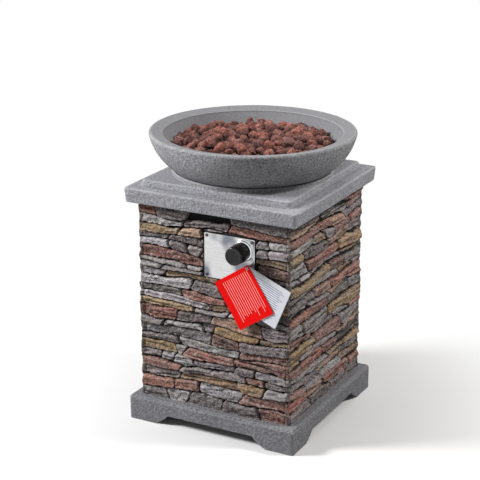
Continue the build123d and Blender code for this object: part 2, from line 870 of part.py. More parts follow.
def make_orifice():
    spud_top = mixer_bottom + orifice_spud_length
    orifice = hex_bar(orifice_flats, (0, 0, orifice_hex_low), (0, 0, mixer_bottom))
    orifice += rod(orifice_spud_radius, (0, 0, mixer_bottom), (0, 0, spud_top))
    return orifice - rod(orifice_jet_radius, (0, 0, orifice_hex_low), (0, 0, spud_top))


outlet_face_x = knob_x - valve_barrel_side / 2 - valve_boss_length


def make_supply_tube():
    low = orifice_hex_low - tube_drop
    points = [
        (0, 0, orifice_hex_low),
        (0, 0, low),
        (0, outlet_y, low),
        (0, outlet_y, knob_z),
        (outlet_face_x, outlet_y, knob_z),
    ]
    radii = [tube_low_bend, tube_rise_bend, tube_rise_bend]
    tube = bent_bar("supply_tube", tube_radius, points, radii)
    return tube - bent_bar("supply_tube bore", tube_bore_radius, points, radii)


def make_tube_nuts():
    bore = tube_radius + thread_clearance
    below_orifice = hex_bar(tube_nut_flats, (0, 0, tube_nut_low), (0, 0, orifice_hex_low))
    below_orifice -= rod(bore, (0, 0, tube_nut_low), (0, 0, orifice_hex_low))
    nut_end = outlet_face_x - tube_nut_length
    at_valve = hex_bar(tube_nut_flats, (nut_end, outlet_y, knob_z), (outlet_face_x, outlet_y, knob_z))
    at_valve -= rod(bore, (nut_end, outlet_y, knob_z), (outlet_face_x, outlet_y, knob_z))
    return Compound([below_orifice, at_valve])


# Control plate and valve

def plate_screw_points():
    xs = (plate_left + plate_screw_inset, plate_right - plate_screw_inset)
    zs = (plate_low + plate_screw_inset, plate_high - plate_screw_inset)
    return [(x, z) for x in xs for z in zs]


def make_plate():
    plate = block((plate_left, plate_front, plate_low), (plate_right, plate_back, plate_high))
    plate = fillet(plate.edges().filter_by(Axis.Y), plate_corner_radius)
    nose_hole = valve_nose_radius + plate_hole_clearance
    plate -= rod(nose_hole, (knob_x, plate_front, knob_z), (knob_x, plate_back, knob_z))
    for x, z in plate_screw_points():
        plate -= rod(screw_radius + screw_clearance, (x, plate_front, z), (x, plate_back, z))
    hole = small_screw_radius + screw_clearance
    for side in (-1, 1):
        x = knob_x + side * valve_screw_spread
        z = knob_z + side * valve_screw_spread
        plate -= rod(hole, (x, plate_front, z), (x, plate_back, z))
    return plate


def make_plate_screws():
    screws = []
    for x, z in plate_screw_points():
        screws.append(screw((x, plate_front, z), (0, 1, 0), plate_screw_bite, head=plate_screw_head_height))
    return Compound(screws)


def make_valve_screws():
    screws = []
    length = plate_thickness + valve_screw_bite
    for side in (-1, 1):
        shift = side * valve_screw_spread
        seat = (knob_x + shift, plate_front, knob_z + shift)
        screws.append(small_screw(seat, (0, 1, 0), length))
    return Compound(screws)


def along_axis(radius, front, back):
    """Round bar on the knob's axis."""
    return rod(radius, (knob_x, front, knob_z), (knob_x, back, knob_z))


def make_valve_body():
    half = valve_flange_side / 2
    valve = block((knob_x - half, plate_back, knob_z - half), (knob_x + half, flange_back, knob_z + half))
    half = valve_barrel_side / 2
    valve += block((knob_x - half, flange_back, barrel_low), (knob_x + half, barrel_back, barrel_top))
    valve = fillet(valve.edges().filter_by(Axis.Y), valve_corner_radius)
    valve += along_axis(valve_nose_radius, nose_front, plate_back)
    valve += rod(valve_boss_radius, (knob_x, outlet_y, knob_z), (outlet_face_x, outlet_y, knob_z))
    boss_low = barrel_low - valve_boss_length
    valve += rod(thermocouple_boss_radius, (knob_x, outlet_y, knob_z), (knob_x, outlet_y, boss_low))
    valve -= along_axis(valve_counterbore_radius, nose_front, spring_seat)
    valve -= along_axis(stem_radius + stem_running_clearance, spring_seat, bearing_back)
    valve -= along_axis(plug_radius + plug_clearance, bearing_back, barrel_back)
    valve -= rod(valve_port_radius, (knob_x, outlet_y, knob_z), (outlet_face_x, outlet_y, knob_z))
    valve -= rod(lead_radius, (knob_x, outlet_y, knob_z), (knob_x, outlet_y, boss_low))
    hole = small_screw_radius + screw_clearance
    for side in (-1, 1):
        x = knob_x + side * valve_screw_spread
        z = knob_z + side * valve_screw_spread
        valve -= rod(hole, (x, plate_back, z), (x, plate_back + valve_screw_bite, z))
        x = knob_x + side * valve_cap_screw_spread
        z = knob_z - side * valve_cap_screw_spread
        valve -= rod(hole, (x, barrel_back - valve_screw_bite, z), (x, barrel_back, z))
    return valve


def make_valve_rear_cap():
    half = valve_barrel_side / 2
    cap = block((knob_x - half, barrel_back, barrel_low), (knob_x + half, valve_cap_back, barrel_top))
    cap = fillet(cap.edges().filter_by(Axis.Y), valve_corner_radius)
    cap -= along_axis(inlet_bore_radius, barrel_back, valve_cap_back)
    for side in (-1, 1):
        x = knob_x + side * valve_cap_screw_spread
        z = knob_z - side * valve_cap_screw_spread
        cap -= rod(small_screw_radius + screw_clearance, (x, barrel_back, z), (x, valve_cap_back, z))
    return cap


def make_valve_cap_screws():
    screws = []
    length = valve_cap_thickness + valve_screw_bite
    for side in (-1, 1):
        shift = side * valve_cap_screw_spread
        seat = (knob_x + shift, valve_cap_back, knob_z - shift)
        screws.append(small_screw(seat, (0, -1, 0), length))
    return Compound(screws)


elbow_y = valve_cap_back + inlet_elbow_side / 2
inlet_top = knob_z - inlet_elbow_side / 2
inlet_thread_low = inlet_top - inlet_thread_length


def make_inlet_elbow():
    half = inlet_elbow_side / 2
    elbow = block((knob_x - half, valve_cap_back, inlet_top), (knob_x + half, elbow_y + half, knob_z + half))
    elbow = fillet(elbow.edges().filter_by(Axis.X), inlet_elbow_corner_radius)
    elbow += rod(inlet_flare_radius, (knob_x, elbow_y, inlet_top), (knob_x, elbow_y, inlet_thread_low))
    nose = Plane((knob_x, elbow_y, inlet_thread_low), z_dir=(0, 0, -1))
    cone_root = inlet_flare_radius - inlet_thread_depth
    elbow += Solid.make_cone(cone_root, inlet_cone_radius, inlet_cone_length, nose)
    tip = inlet_thread_low - inlet_cone_length
    elbow -= rod(inlet_bore_radius, (knob_x, elbow_y, tip), (knob_x, elbow_y, knob_z))
    return elbow - along_axis(inlet_bore_radius, valve_cap_back, elbow_y)


def make_stem():
    stem = along_axis(stem_radius, stem_front, plug_front)
    flat = block(
        (knob_x - stem_radius, stem_front, knob_z + stem_radius - stem_flat),
        (knob_x + stem_radius, neck_rear, knob_z + stem_radius),
    )
    stem -= flat
    stem += along_axis(plug_radius, plug_front, plug_front + plug_length)
    middle = plug_front + plug_length / 2
    stem -= along_axis(valve_port_radius, middle, plug_front + plug_length)
    return stem - rod(valve_port_radius, (knob_x, middle, knob_z), (knob_x, middle, knob_z + plug_radius))


def make_thrust_washer():
    bore = stem_radius + thrust_washer_clearance
    washer = along_axis(thrust_washer_radius, washer_front, nose_front)
    return washer - along_axis(bore, washer_front, nose_front)


def make_spring():
    """Coil of half-turn arcs, each tilted so that it leaves the last one without a kink."""
    start = spring_seat - spring_wire_radius
    end = nose_front + spring_wire_radius
    half_pitch = (end - start) / (2 * spring_turns)
    arcs = []
    for i in range(2 * spring_turns):
        side = 1 if i % 2 == 0 else -1
        low = start + half_pitch * i
        arcs.append(ThreePointArc(
            (knob_x - side * spring_coil_radius, low, knob_z),
            (knob_x, low + half_pitch / 2, knob_z + side * spring_coil_radius),
            (knob_x + side * spring_coil_radius, low + half_pitch, knob_z),
        ))
    path = Wire(arcs)
    gap = abs(2 * half_pitch) - 2 * spring_wire_radius
    print(f"return_spring: gap between turns {gap:.2f}")
    section = Plane(path @ 0, z_dir=path % 0) * Circle(spring_wire_radius)
    return sweep(section, path=path)


# Knob and bezel

def make_bezel():
    bezel = along_axis(bezel_radius, bezel_front, plate_front)
    front_edge = bezel.edges().filter_by(GeomType.CIRCLE).sort_by(Axis.Y)[0]
    bezel = fillet(front_edge, bezel_edge_radius)
    cup_floor = bezel_front + bezel_wall + bezel_edge_radius / 2
    bezel -= along_axis(bezel_radius - bezel_wall, cup_floor, plate_front)
    return bezel - along_axis(knob_neck_radius + bezel_neck_clearance, bezel_front, plate_front)


def make_pointer():
    """Inlaid line on the knob's face; the knob's groove is cut with the same block."""
    half = pointer_width / 2
    low = knob_z + pointer_start
    front = knob_front + knob_dish_depth / 2
    back = knob_front + knob_dish_depth + pointer_depth
    return block((knob_x - half, front, low), (knob_x + half, back, low + pointer_length))


def make_knob():
    rear = Plane((knob_x, knob_rear, knob_z), z_dir=(0, -1, 0))
    body = Solid.make_cone(knob_radius, knob_front_radius, knob_length, rear)
    front_edge = body.edges().filter_by(GeomType.CIRCLE).sort_by(Axis.Y)[0]
    body = fillet(front_edge, knob_edge_radius)
    body -= along_axis(knob_dish_radius, knob_front, knob_front + knob_dish_depth)
    body += along_axis(knob_neck_radius, knob_rear, neck_rear)
    bore = along_axis(stem_radius + stem_running_clearance, stem_front, neck_rear)
    flat_z = knob_z + stem_radius - stem_flat + stem_running_clearance
    bore -= block(
        (knob_x - knob_neck_radius, stem_front, flat_z),
        (knob_x + knob_neck_radius, neck_rear, flat_z + knob_neck_radius),
    )
    body -= bore
    return body - make_pointer()


# Igniter and flame sensor

piezo_front = flange_back + piezo_start
piezo_back = piezo_front + piezo_length
piezo_z = barrel_top + piezo_foot_height + piezo_radius
lead_start_y = piezo_back + piezo_terminal_length


def make_piezo():
    piezo = rod(piezo_radius, (knob_x, piezo_front, piezo_z), (knob_x, piezo_back, piezo_z))
    half = piezo_foot_width / 2
    piezo += block((knob_x - half, piezo_front, barrel_top), (knob_x + half, barrel_back, piezo_z))
    return piezo + rod(piezo_terminal_radius, (knob_x, piezo_back, piezo_z), (knob_x, lead_start_y, piezo_z))


def make_igniter_lead():
    points = [
        (knob_x, lead_start_y, piezo_z),
        (knob_x, lead_start_y + 34, piezo_z),
        (lead_x + 26, lead_y - 22, piezo_z + 16),
        (lead_x, lead_y, piezo_z + 46),
        (lead_x, lead_y, sensor_z),
        (lead_x, -sensor_start, sensor_z),
    ]
    return bent_bar("igniter_lead", lead_radius, points, [30, 34, 26, 11])


def make_insulator():
    back = -(sensor_start + insulator_length)
    return rod(insulator_radius, (lead_x, -sensor_start, sensor_z), (lead_x, back, sensor_z))


def make_electrode():
    back = -(sensor_start + insulator_length)
    tip = -(burner_ring_radius - burner_tube_radius - spark_gap)
    return rod(electrode_radius, (lead_x, back, sensor_z), (lead_x, tip, sensor_z))


def make_thermocouple():
    end = -(sensor_start + thermocouple_length)
    return rod(thermocouple_radius, (-lead_x, -sensor_start, sensor_z), (-lead_x, end, sensor_z))


thermocouple_nut_top = barrel_low - valve_boss_length
thermocouple_nut_low = thermocouple_nut_top - thermocouple_nut_length


def make_thermocouple_nut():
    top = (knob_x, outlet_y, thermocouple_nut_top)
    low = (knob_x, outlet_y, thermocouple_nut_low)
    return hex_bar(thermocouple_nut_flats, low, top) - rod(lead_radius + thread_clearance, low, top)


def make_thermocouple_lead():
    points = [
        (knob_x, outlet_y, thermocouple_nut_top),
        (knob_x, outlet_y, thermocouple_nut_low - 26),
        (knob_x - 34, outlet_y + 60, thermocouple_nut_low - 20),
        (-lead_x, lead_y - 26, thermocouple_nut_low + 22),
        (-lead_x, lead_y, thermocouple_nut_low + 78),
        (-lead_x, lead_y, sensor_z),
        (-lead_x, -sensor_start, sensor_z),
    ]
    return bent_bar("thermocouple_lead", lead_radius, points, [20, 40, 40, 40, 11])


def make_bracket():
    front = -(bracket_distance + bracket_thickness)
    back = -bracket_distance
    half = bracket_width / 2
    bracket = block((-half, front, flange_top), (half, back, flange_top + bracket_height))
    foot_top = flange_top + bracket_thickness
    half = bracket_foot_width / 2
    bracket += block((-half, back, flange_top), (half, back + bracket_foot_reach, foot_top))
    insulator_hole = insulator_radius + bracket_hole_clearance
    bracket -= rod(insulator_hole, (lead_x, front, sensor_z), (lead_x, back, sensor_z))
    thermocouple_hole = thermocouple_radius + bracket_hole_clearance
    bracket -= rod(thermocouple_hole, (-lead_x, front, sensor_z), (-lead_x, back, sensor_z))
    place = -bracket_screw_distance
    return bracket - rod(small_screw_radius + screw_clearance, (0, place, flange_top), (0, place, foot_top))


def make_bracket_screw():
    seat = (0, -bracket_screw_distance, flange_top + bracket_thickness)
    length = bracket_thickness + hub_flange_thickness
    return small_screw(seat, (0, 0, -1), length)


# Hang tags: the loop hangs from the knob's neck and its tail passes through both cards

loop_turn = radians(tag_loop_angle)
tag_pin_x = knob_x + tag_drop * sin(loop_turn)
tag_pin_z = knob_z - tag_drop * cos(loop_turn)
white_back = loop_y - loop_wire_radius - tag_gap
white_front = white_back - tag_thickness
red_back = white_front - tag_gap
red_front = red_back - tag_thickness
button_back = red_front - tag_gap


def loop_point(down, across):
    """Point in the loop's plane: down from the knob's axis towards the cards, and across."""
    x = knob_x + down * sin(loop_turn) + across * cos(loop_turn)
    z = knob_z - down * cos(loop_turn) + across * sin(loop_turn)
    return (x, loop_y, z)


def make_tag_loop():
    top = -(knob_neck_radius + loop_wire_radius + loop_neck_gap)
    side = knob_neck_radius + loop_wire_radius + loop_side_gap
    points = [
        loop_point(loop_lock_distance, loop_wire_radius),
        loop_point(loop_straight, side),
        loop_point(top, side),
        loop_point(top, -side),
        loop_point(loop_straight, -side),
        loop_point(loop_lock_distance, -loop_wire_radius),
    ]
    round_top = knob_neck_radius + loop_wire_radius
    bends = [2 * round_top, round_top, round_top, 2 * round_top]
    loop = bent_bar("tag_loop", loop_wire_radius, points, bends)
    lock = Box(loop_lock_width, loop_lock_thickness, loop_lock_length).rotate(Axis.Y, -tag_loop_angle)
    lock_x, lock_y, lock_z = loop_point(loop_lock_distance, 0)
    loop += Pos(lock_x, lock_y, lock_z) * lock
    loop += rod(loop_wire_radius, (lock_x, lock_y, lock_z), (tag_pin_x, loop_y, tag_pin_z))
    loop += Pos(tag_pin_x, loop_y, tag_pin_z) * Sphere(loop_wire_radius)
    tail_end = (tag_pin_x, button_back, tag_pin_z)
    loop += rod(loop_wire_radius, (tag_pin_x, loop_y, tag_pin_z), tail_end)
    button_end = (tag_pin_x, button_back - loop_button_thickness, tag_pin_z)
    return loop + rod(loop_button_radius, tail_end, button_end)


def make_tag(back, front, angle):
    """Card hanging by the hole in one corner, turned about the loop's tail."""
    card = Rectangle(tag_length, tag_width, align=(Align.MIN, Align.MAX))
    card = fillet(card.vertices(), tag_corner_radius)
    card -= Pos(tag_hole_inset, -tag_hole_inset) * Circle(tag_hole_radius)
    lean = degrees(atan2(tag_width - tag_hole_inset, tag_length - tag_hole_inset))
    hang = tag_hole_radius - loop_wire_radius - loop_rest_gap
    hung = Rot(0, 0, lean - 90) * Pos(-tag_hole_inset, tag_hole_inset) * card
    turned = Rot(0, 0, angle) * Pos(0, -hang) * hung
    face = Plane((tag_pin_x, back, tag_pin_z), x_dir=(1, 0, 0), z_dir=(0, -1, 0)) * turned
    return extrude(face, amount=back - front)


save("base_plinth", make_base())
save("front_panel", make_front_wall())
save("right_panel", make_wall(side_courses, False).rotate(Axis.Z, 90))
save("rear_panel", make_wall(side_courses, True).rotate(Axis.Z, 180))
save("left_panel", make_wall(front_courses, True).rotate(Axis.Z, 270))
corner_angle = make_angle()
for quarter, corner in enumerate(("rear_right", "rear_left", "front_left", "front_right")):
    save(f"corner_angle_{corner}", corner_angle.rotate(Axis.Z, 90 * quarter))
save("panel_screws", make_panel_screws())
save("base_screws", make_tab_screws(base_top + angle_thickness, (0, 0, -1)))
save("cap_screws", make_tab_screws(column_top - angle_thickness, (0, 0, 1)))
save("mantel_cap", make_cap())
save("fire_bowl", make_bowl())
save("bowl_bolts", make_bowl_bolts())
save("bowl_washers", make_bowl_washers())
save("lava_rocks", make_rocks())
save("burner_ring", make_burner_ring())
save("burner_hub", make_burner_hub())
save("mixer_tube", make_mixer())
save("burner_washer", make_burner_washer())
save("burner_locknut", make_locknut())
save("gas_orifice", make_orifice())
save("supply_tube", make_supply_tube())
save("tube_nuts", make_tube_nuts())
save("control_plate", make_plate())
save("plate_screws", make_plate_screws())
save("valve_screws", make_valve_screws())
save("valve_body", make_valve_body())
save("valve_rear_cap", make_valve_rear_cap())
save("valve_cap_screws", make_valve_cap_screws())
save("inlet_elbow", make_inlet_elbow())
save("valve_stem", make_stem())
save("thrust_washer", make_thrust_washer())
save("return_spring", make_spring())
save("knob_bezel", make_bezel())
save("control_knob", make_knob())
save("knob_pointer", make_pointer())
save("piezo_igniter", make_piezo())
save("igniter_lead", make_igniter_lead())
save("electrode_insulator", make_insulator())
save("igniter_electrode", make_electrode())
save("thermocouple", make_thermocouple())
save("thermocouple_nut", make_thermocouple_nut())
save("thermocouple_lead", make_thermocouple_lead())
save("sensor_bracket", make_bracket())
save("bracket_screw", make_bracket_screw())
save("tag_loop", make_tag_loop())
save("red_hang_tag", make_tag(red_back, red_front, red_tag_angle))
save("white_hang_tag", make_tag(white_back, white_front, white_tag_angle))
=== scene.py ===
import json
from contextlib import contextmanager
from math import cos, pi, radians, sin

import bmesh
import bpy
import numpy as np
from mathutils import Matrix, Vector

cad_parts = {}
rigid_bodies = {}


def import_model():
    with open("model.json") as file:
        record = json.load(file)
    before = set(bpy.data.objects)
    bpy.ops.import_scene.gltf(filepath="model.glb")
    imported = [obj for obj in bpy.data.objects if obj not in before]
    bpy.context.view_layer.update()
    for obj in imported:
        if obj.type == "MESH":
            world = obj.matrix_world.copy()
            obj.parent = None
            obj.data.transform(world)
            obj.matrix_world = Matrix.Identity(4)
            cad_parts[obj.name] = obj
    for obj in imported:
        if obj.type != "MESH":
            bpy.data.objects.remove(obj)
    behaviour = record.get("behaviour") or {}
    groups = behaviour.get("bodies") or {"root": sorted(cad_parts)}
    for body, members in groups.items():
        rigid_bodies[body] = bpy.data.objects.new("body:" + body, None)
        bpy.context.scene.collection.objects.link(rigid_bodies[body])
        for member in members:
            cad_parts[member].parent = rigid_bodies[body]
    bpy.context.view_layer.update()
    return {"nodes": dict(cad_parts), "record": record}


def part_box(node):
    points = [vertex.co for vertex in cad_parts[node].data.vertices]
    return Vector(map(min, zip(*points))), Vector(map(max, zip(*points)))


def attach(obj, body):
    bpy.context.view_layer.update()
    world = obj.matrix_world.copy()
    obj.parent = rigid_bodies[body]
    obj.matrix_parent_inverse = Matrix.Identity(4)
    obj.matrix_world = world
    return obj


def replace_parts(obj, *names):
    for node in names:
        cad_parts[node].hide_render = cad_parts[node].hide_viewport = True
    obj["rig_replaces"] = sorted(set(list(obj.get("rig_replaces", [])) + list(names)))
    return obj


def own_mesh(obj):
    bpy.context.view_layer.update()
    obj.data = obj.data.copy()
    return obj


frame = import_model()

# Gas fire pit: stacked-stone column, cast base, cap and bowl, lava rock, gas control and hang tags.
# Metres, +Z up, front towards -Y, as in the CAD frame.
# Walls, the rock bed and turned outlines are worked out in millimetres.

MM = 0.001
record = frame["record"]
slot_of = {row["node"]: row["material_slot"] for row in record["subparts"]}
body_of = {node: body for body, nodes in record["behaviour"]["bodies"].items() for node in nodes}


# Shapes

def scattered(points, size, seed):
    """Smooth repeatable noise from -1 to 1 over points in space, with bumps of about a size."""
    place = np.asarray(points, float) / size
    low = np.floor(place).astype(np.int64)
    share = place - low
    ease = share * share * (3 - 2 * share)
    total = np.zeros(len(place))
    for corner in range(8):
        step = np.array([corner & 1, corner >> 1 & 1, corner >> 2 & 1])
        ix, iy, iz = (low + step).T
        stirred = (ix * 374761393 + iy * 668265263 + iz * 1440662683 + seed * 974634777) & 0xFFFFFFFF
        stirred = ((stirred ^ (stirred >> 13)) * 1274126177) & 0xFFFFFFFF
        value = ((stirred ^ (stirred >> 16)) & 0xFFFF) / 65535
        total += value * np.prod(np.where(step, ease, 1 - ease), axis=1)
    return 2 * total - 1


def eased(value, low, high):
    """0 below low, 1 above high and smooth between them."""
    share = np.clip((value - low) / (high - low), 0, 1)
    return share * share * (3 - 2 * share)


def new_object(name, data):
    piece = bpy.data.objects.new(name, data)
    bpy.context.scene.collection.objects.link(piece)
    return piece


@contextmanager
def edited(mesh):
    """A mesh opened for editing, and written back afterwards."""
    shell = bmesh.new()
    shell.from_mesh(mesh)
    yield shell
    shell.to_mesh(mesh)
    shell.free()


def applied(piece):
    """Turns a piece with modifiers into a plain mesh."""
    evaluated = piece.evaluated_get(bpy.context.evaluated_depsgraph_get())
    mesh = bpy.data.meshes.new_from_object(evaluated)
    piece.modifiers.clear()
    piece.data = mesh
    return piece


def merged_copy(node):
    """A copy of a CAD node's mesh with its triangles joined up."""
    mesh = frame["nodes"][node].data.copy()
    with edited(mesh) as shell:
        bmesh.ops.remove_doubles(shell, verts=shell.verts, dist=1e-6)
    if mesh.has_custom_normals:
        mesh.attributes.remove(mesh.attributes["custom_normal"])
    return mesh


def flattened(shell):
    """Joins the triangles of flat faces."""
    bmesh.ops.dissolve_limit(shell, angle_limit=radians(0.6), verts=shell.verts, edges=shell.edges)


def points_of(mesh):
    """The points of a mesh, one in each row."""
    points = np.empty(len(mesh.vertices) * 3)
    mesh.vertices.foreach_get("co", points)
    return points.reshape(-1, 3)


def store(mesh, name, kind, values):
    """Keeps a value, colour or vector for each point of a mesh."""
    part = {"FLOAT": "value", "FLOAT_COLOR": "color", "FLOAT_VECTOR": "vector"}[kind]
    mesh.attributes.new(name, kind, "POINT").data.foreach_set(part, np.ravel(values))


def dress(piece, node, finish, sharp):
    """The finished piece stands for a CAD node; edges that turn by more than sharp degrees stay crisp."""
    piece.data.shade_smooth()
    piece.data.set_sharp_from_angle(angle=radians(sharp))
    piece.data.materials.clear()
    piece.data.materials.append(finishes[finish])
    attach(piece, body_of[node])
    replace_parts(piece, node)


def lathe(name, centre, axis, outline, segments):
    """A mesh turned about an axis through the centre, from (radius, distance) points in millimetres."""
    along = Vector(axis)
    across = along.orthogonal().normalized()
    upright = along.cross(across)
    turns = [2 * pi * i / segments for i in range(segments)]
    mesh = bpy.data.meshes.new(name)
    with edited(mesh) as shell:
        rings = []
        for radius, distance in outline:
            middle = Vector(centre) + along * (distance * MM)
            ring = [across * cos(a) + upright * sin(a) for a in turns] if radius else [Vector()]
            rings.append([shell.verts.new(middle + way * (radius * MM)) for way in ring])
        for inner, outer in zip(rings, rings[1:]):
            for i in range(segments):
                if len(inner) == 1:
                    shell.faces.new([inner[0], outer[i], outer[i - 1]])
                elif len(outer) == 1:
                    shell.faces.new([inner[i - 1], inner[i], outer[0]])
                else:
                    shell.faces.new([inner[i - 1], inner[i], outer[i], outer[i - 1]])
        bmesh.ops.remove_doubles(shell, verts=shell.verts, dist=1e-7)
        bmesh.ops.recalc_face_normals(shell, faces=shell.faces)
    return new_object(name, mesh)


def arc(start, middle, end, count):
    """Points along the arc that runs through three points, the first left out."""
    (ax, az), (bx, bz), (cx, cz) = start, middle, end
    a, b, c = ax * ax + az * az, bx * bx + bz * bz, cx * cx + cz * cz
    twice = 2 * (ax * (bz - cz) + bx * (cz - az) + cx * (az - bz))
    centre_x = (a * (bz - cz) + b * (cz - az) + c * (az - bz)) / twice
    centre_z = (a * (cx - bx) + b * (ax - cx) + c * (bx - ax)) / twice
    ways = np.unwrap([np.arctan2(z - centre_z, x - centre_x) for x, z in (start, middle, end)])
    reach = np.hypot(ax - centre_x, az - centre_z)
    turns = np.linspace(ways[0], ways[2], count)[1:]
    return [(centre_x + reach * cos(turn), centre_z + reach * sin(turn)) for turn in turns]


def line(start, end, count):
    """Points along a straight line, the first left out."""
    return list(zip(*(np.linspace(a, b, count)[1:] for a, b in zip(start, end))))


# Node trees

def ink(red, green, blue):
    """A colour as it is seen on a screen, 0 to 255, turned into the linear one that shaders take."""
    shares = np.array([red, green, blue]) / 255
    linear = np.where(shares <= 0.04045, shares / 12.92, ((shares + 0.055) / 1.055) ** 2.4)
    return (*linear.tolist(), 1.0)


def fill(tree, inputs, values):
    """Links or sets a node's inputs."""
    for name, value in values.items():
        if isinstance(value, bpy.types.NodeSocket):
            tree.links.new(value, inputs[name])
        else:
            inputs[name].default_value = value


def add(tree, kind, values=None, **settings):
    """The outputs of a new node with its settings, its plain values and the sockets that feed it."""
    made = tree.nodes.new(kind)
    for name, value in settings.items():
        setattr(made, name, value)
    fill(tree, made.inputs, values or {})
    return made.outputs


def reckon(tree, operation, *values):
    return add(tree, "ShaderNodeMath", dict(enumerate(values)), operation=operation)[0]


def vector(tree, **parts):
    return add(tree, "ShaderNodeCombineXYZ", parts)[0]


def scaled(tree, first, second):
    """A vector times a number or, part by part, another vector."""
    if second.type == "VECTOR":
        return add(tree, "ShaderNodeVectorMath", {0: first, 1: second}, operation="MULTIPLY")[0]
    return add(tree, "ShaderNodeVectorMath", {0: first, "Scale": second}, operation="SCALE")[0]


def new_group(kind, name, inputs, outputs):
    """An empty group tree and its input sockets; an input is a default value or the name of a socket kind."""
    tree = bpy.data.node_groups.new(name, kind)
    kinds = {float: "NodeSocketFloat", int: "NodeSocketInt"}
    for label, value in inputs.items():
        given = tree.interface.new_socket(label, in_out="INPUT", socket_type=kinds.get(type(value), value))
        if type(value) in kinds:
            given.default_value = value
    for label, socket_kind in outputs.items():
        tree.interface.new_socket(label, in_out="OUTPUT", socket_type=socket_kind)
    return tree, tree.nodes.new("NodeGroupInput").outputs


def shader_group(name, inputs, outputs):
    return new_group("ShaderNodeTree", name, inputs, dict.fromkeys(outputs, "NodeSocketFloat"))


# Shader groups that several finishes share

def make_sand_grain():
    """Fine grain, soft blotches and scattered pits, each from 0 to 1."""
    tree, given = shader_group("sand_grain", {
        "Grain Density": 500.0, "Blotch Density": 14.0, "Pit Density": 190.0, "Pit Share": 0.22,
        "Flatness": 1.0}, ["Grain", "Blotch", "Pit"])
    spot = add(tree, "ShaderNodeTexCoord")["Object"]
    where = scaled(tree, spot, vector(tree, X=1.0, Y=1.0, Z=given["Flatness"]))
    grain = add(tree, "ShaderNodeTexNoise", {
        "Vector": where, "Scale": given["Grain Density"], "Detail": 3.0, "Roughness": 0.65})
    blotch = add(tree, "ShaderNodeTexNoise", {
        "Vector": where, "Scale": given["Blotch Density"], "Detail": 5.0, "Roughness": 0.6})
    cells = add(tree, "ShaderNodeTexVoronoi", {"Vector": where, "Scale": given["Pit Density"]})
    chosen = add(tree, "ShaderNodeSeparateColor", {"Color": cells["Color"]})["Red"]
    rare = reckon(tree, "LESS_THAN", chosen, given["Pit Share"])
    pit = reckon(tree, "MULTIPLY", rare, ranged(tree, cells["Distance"], 0.15, 0.45, 1.0, 0.0))
    add(tree, "NodeGroupOutput", {"Grain": grain["Fac"], "Blotch": blotch["Fac"], "Pit": pit})
    return tree


def make_drawn_lines():
    """Long fine lines along X, with slow waves, each from 0 to 1."""
    tree, given = shader_group(
        "drawn_lines", {"Line Density": 900.0, "Line Stretch": 0.012}, ["Lines", "Waves"])
    where = add(tree, "ShaderNodeTexCoord")["Object"]
    drawn = scaled(tree, where, vector(tree, X=given["Line Stretch"], Y=1.0, Z=1.0))
    lines = add(tree, "ShaderNodeTexNoise", {
        "Vector": drawn, "Scale": given["Line Density"], "Detail": 2.0, "Roughness": 0.7})
    waves = add(tree, "ShaderNodeTexNoise", {"Vector": where, "Scale": 22.0, "Detail": 1.0})
    add(tree, "NodeGroupOutput", {"Lines": lines["Fac"], "Waves": waves["Fac"]})
    return tree


def make_handling():
    """Soft smudges and fine scuffs from 0 to 1."""
    tree, given = shader_group(
        "handling", {"Smudge Density": 60.0, "Scuff Density": 1500.0}, ["Smudge", "Scuff"])
    where = add(tree, "ShaderNodeTexCoord")["Object"]
    smudge = add(tree, "ShaderNodeTexNoise", {
        "Vector": where, "Scale": given["Smudge Density"], "Detail": 4.0, "Distortion": 0.6})
    scuff = add(tree, "ShaderNodeTexNoise", {"Vector": where, "Scale": given["Scuff Density"], "Detail": 2.0})
    add(tree, "NodeGroupOutput", {"Smudge": smudge["Fac"], "Scuff": scuff["Fac"]})
    return tree


def ranged(tree, value, low, high, start, end):
    """A value that runs from start to end while the given one runs from low to high."""
    return add(tree, "ShaderNodeMapRange", {
        "Value": value, "From Min": low, "From Max": high, "To Min": start, "To Max": end})[0]


sand_grain = make_sand_grain()
drawn_lines = make_drawn_lines()
handling = make_handling()


# Materials

def start_material(name):
    material = bpy.data.materials.new(name)
    material.use_nodes = True
    tree = material.node_tree
    return material, tree, tree.nodes["Principled BSDF"]


def placed(tree, group, **values):
    """A shared group placed in a material, with its own values."""
    return add(tree, "ShaderNodeGroup", {name.replace("_", " "): value for name, value in values.items()},
               node_tree=group)


def attribute(tree, name, part="Fac"):
    return add(tree, "ShaderNodeAttribute", attribute_name=name)[part]


def mixed(tree, share, first, second):
    """Colour between two by a share."""
    return add(tree, "ShaderNodeMix", {0: share, 6: first, 7: second}, data_type="RGBA")[2]


def layered(tree, colour, *layers):
    """A colour that each layer turns towards a tone, up to a share, while a mask runs from low to high."""
    for tone, mask, low, high, share in layers:
        colour = mixed(tree, ranged(tree, mask, low, high, 0.0, share), colour, tone)
    return colour


def bumped(tree, *layers):
    """A normal under bump layers of a height, a depth in millimetres and a strength, the undermost first."""
    normal = {}
    for height, depth, strength in layers:
        bump = {"Height": height, "Distance": depth * MM, "Strength": strength}
        normal = {"Normal": add(tree, "ShaderNodeBump", {**bump, **normal})["Normal"]}
    return normal["Normal"]


def hollow(tree, pit):
    """The height of a surface with pits."""
    return ranged(tree, pit, 0.0, 1.0, 1.0, 0.0)


def sandy(tree, grain, blotch, pits, share, flatness=1.0):
    """The shared sand grain, by the densities of grain, blotches and pits, and the share of pits."""
    return placed(tree, sand_grain, Grain_Density=grain, Blotch_Density=blotch, Pit_Density=pits,
                  Pit_Share=share, Flatness=flatness)


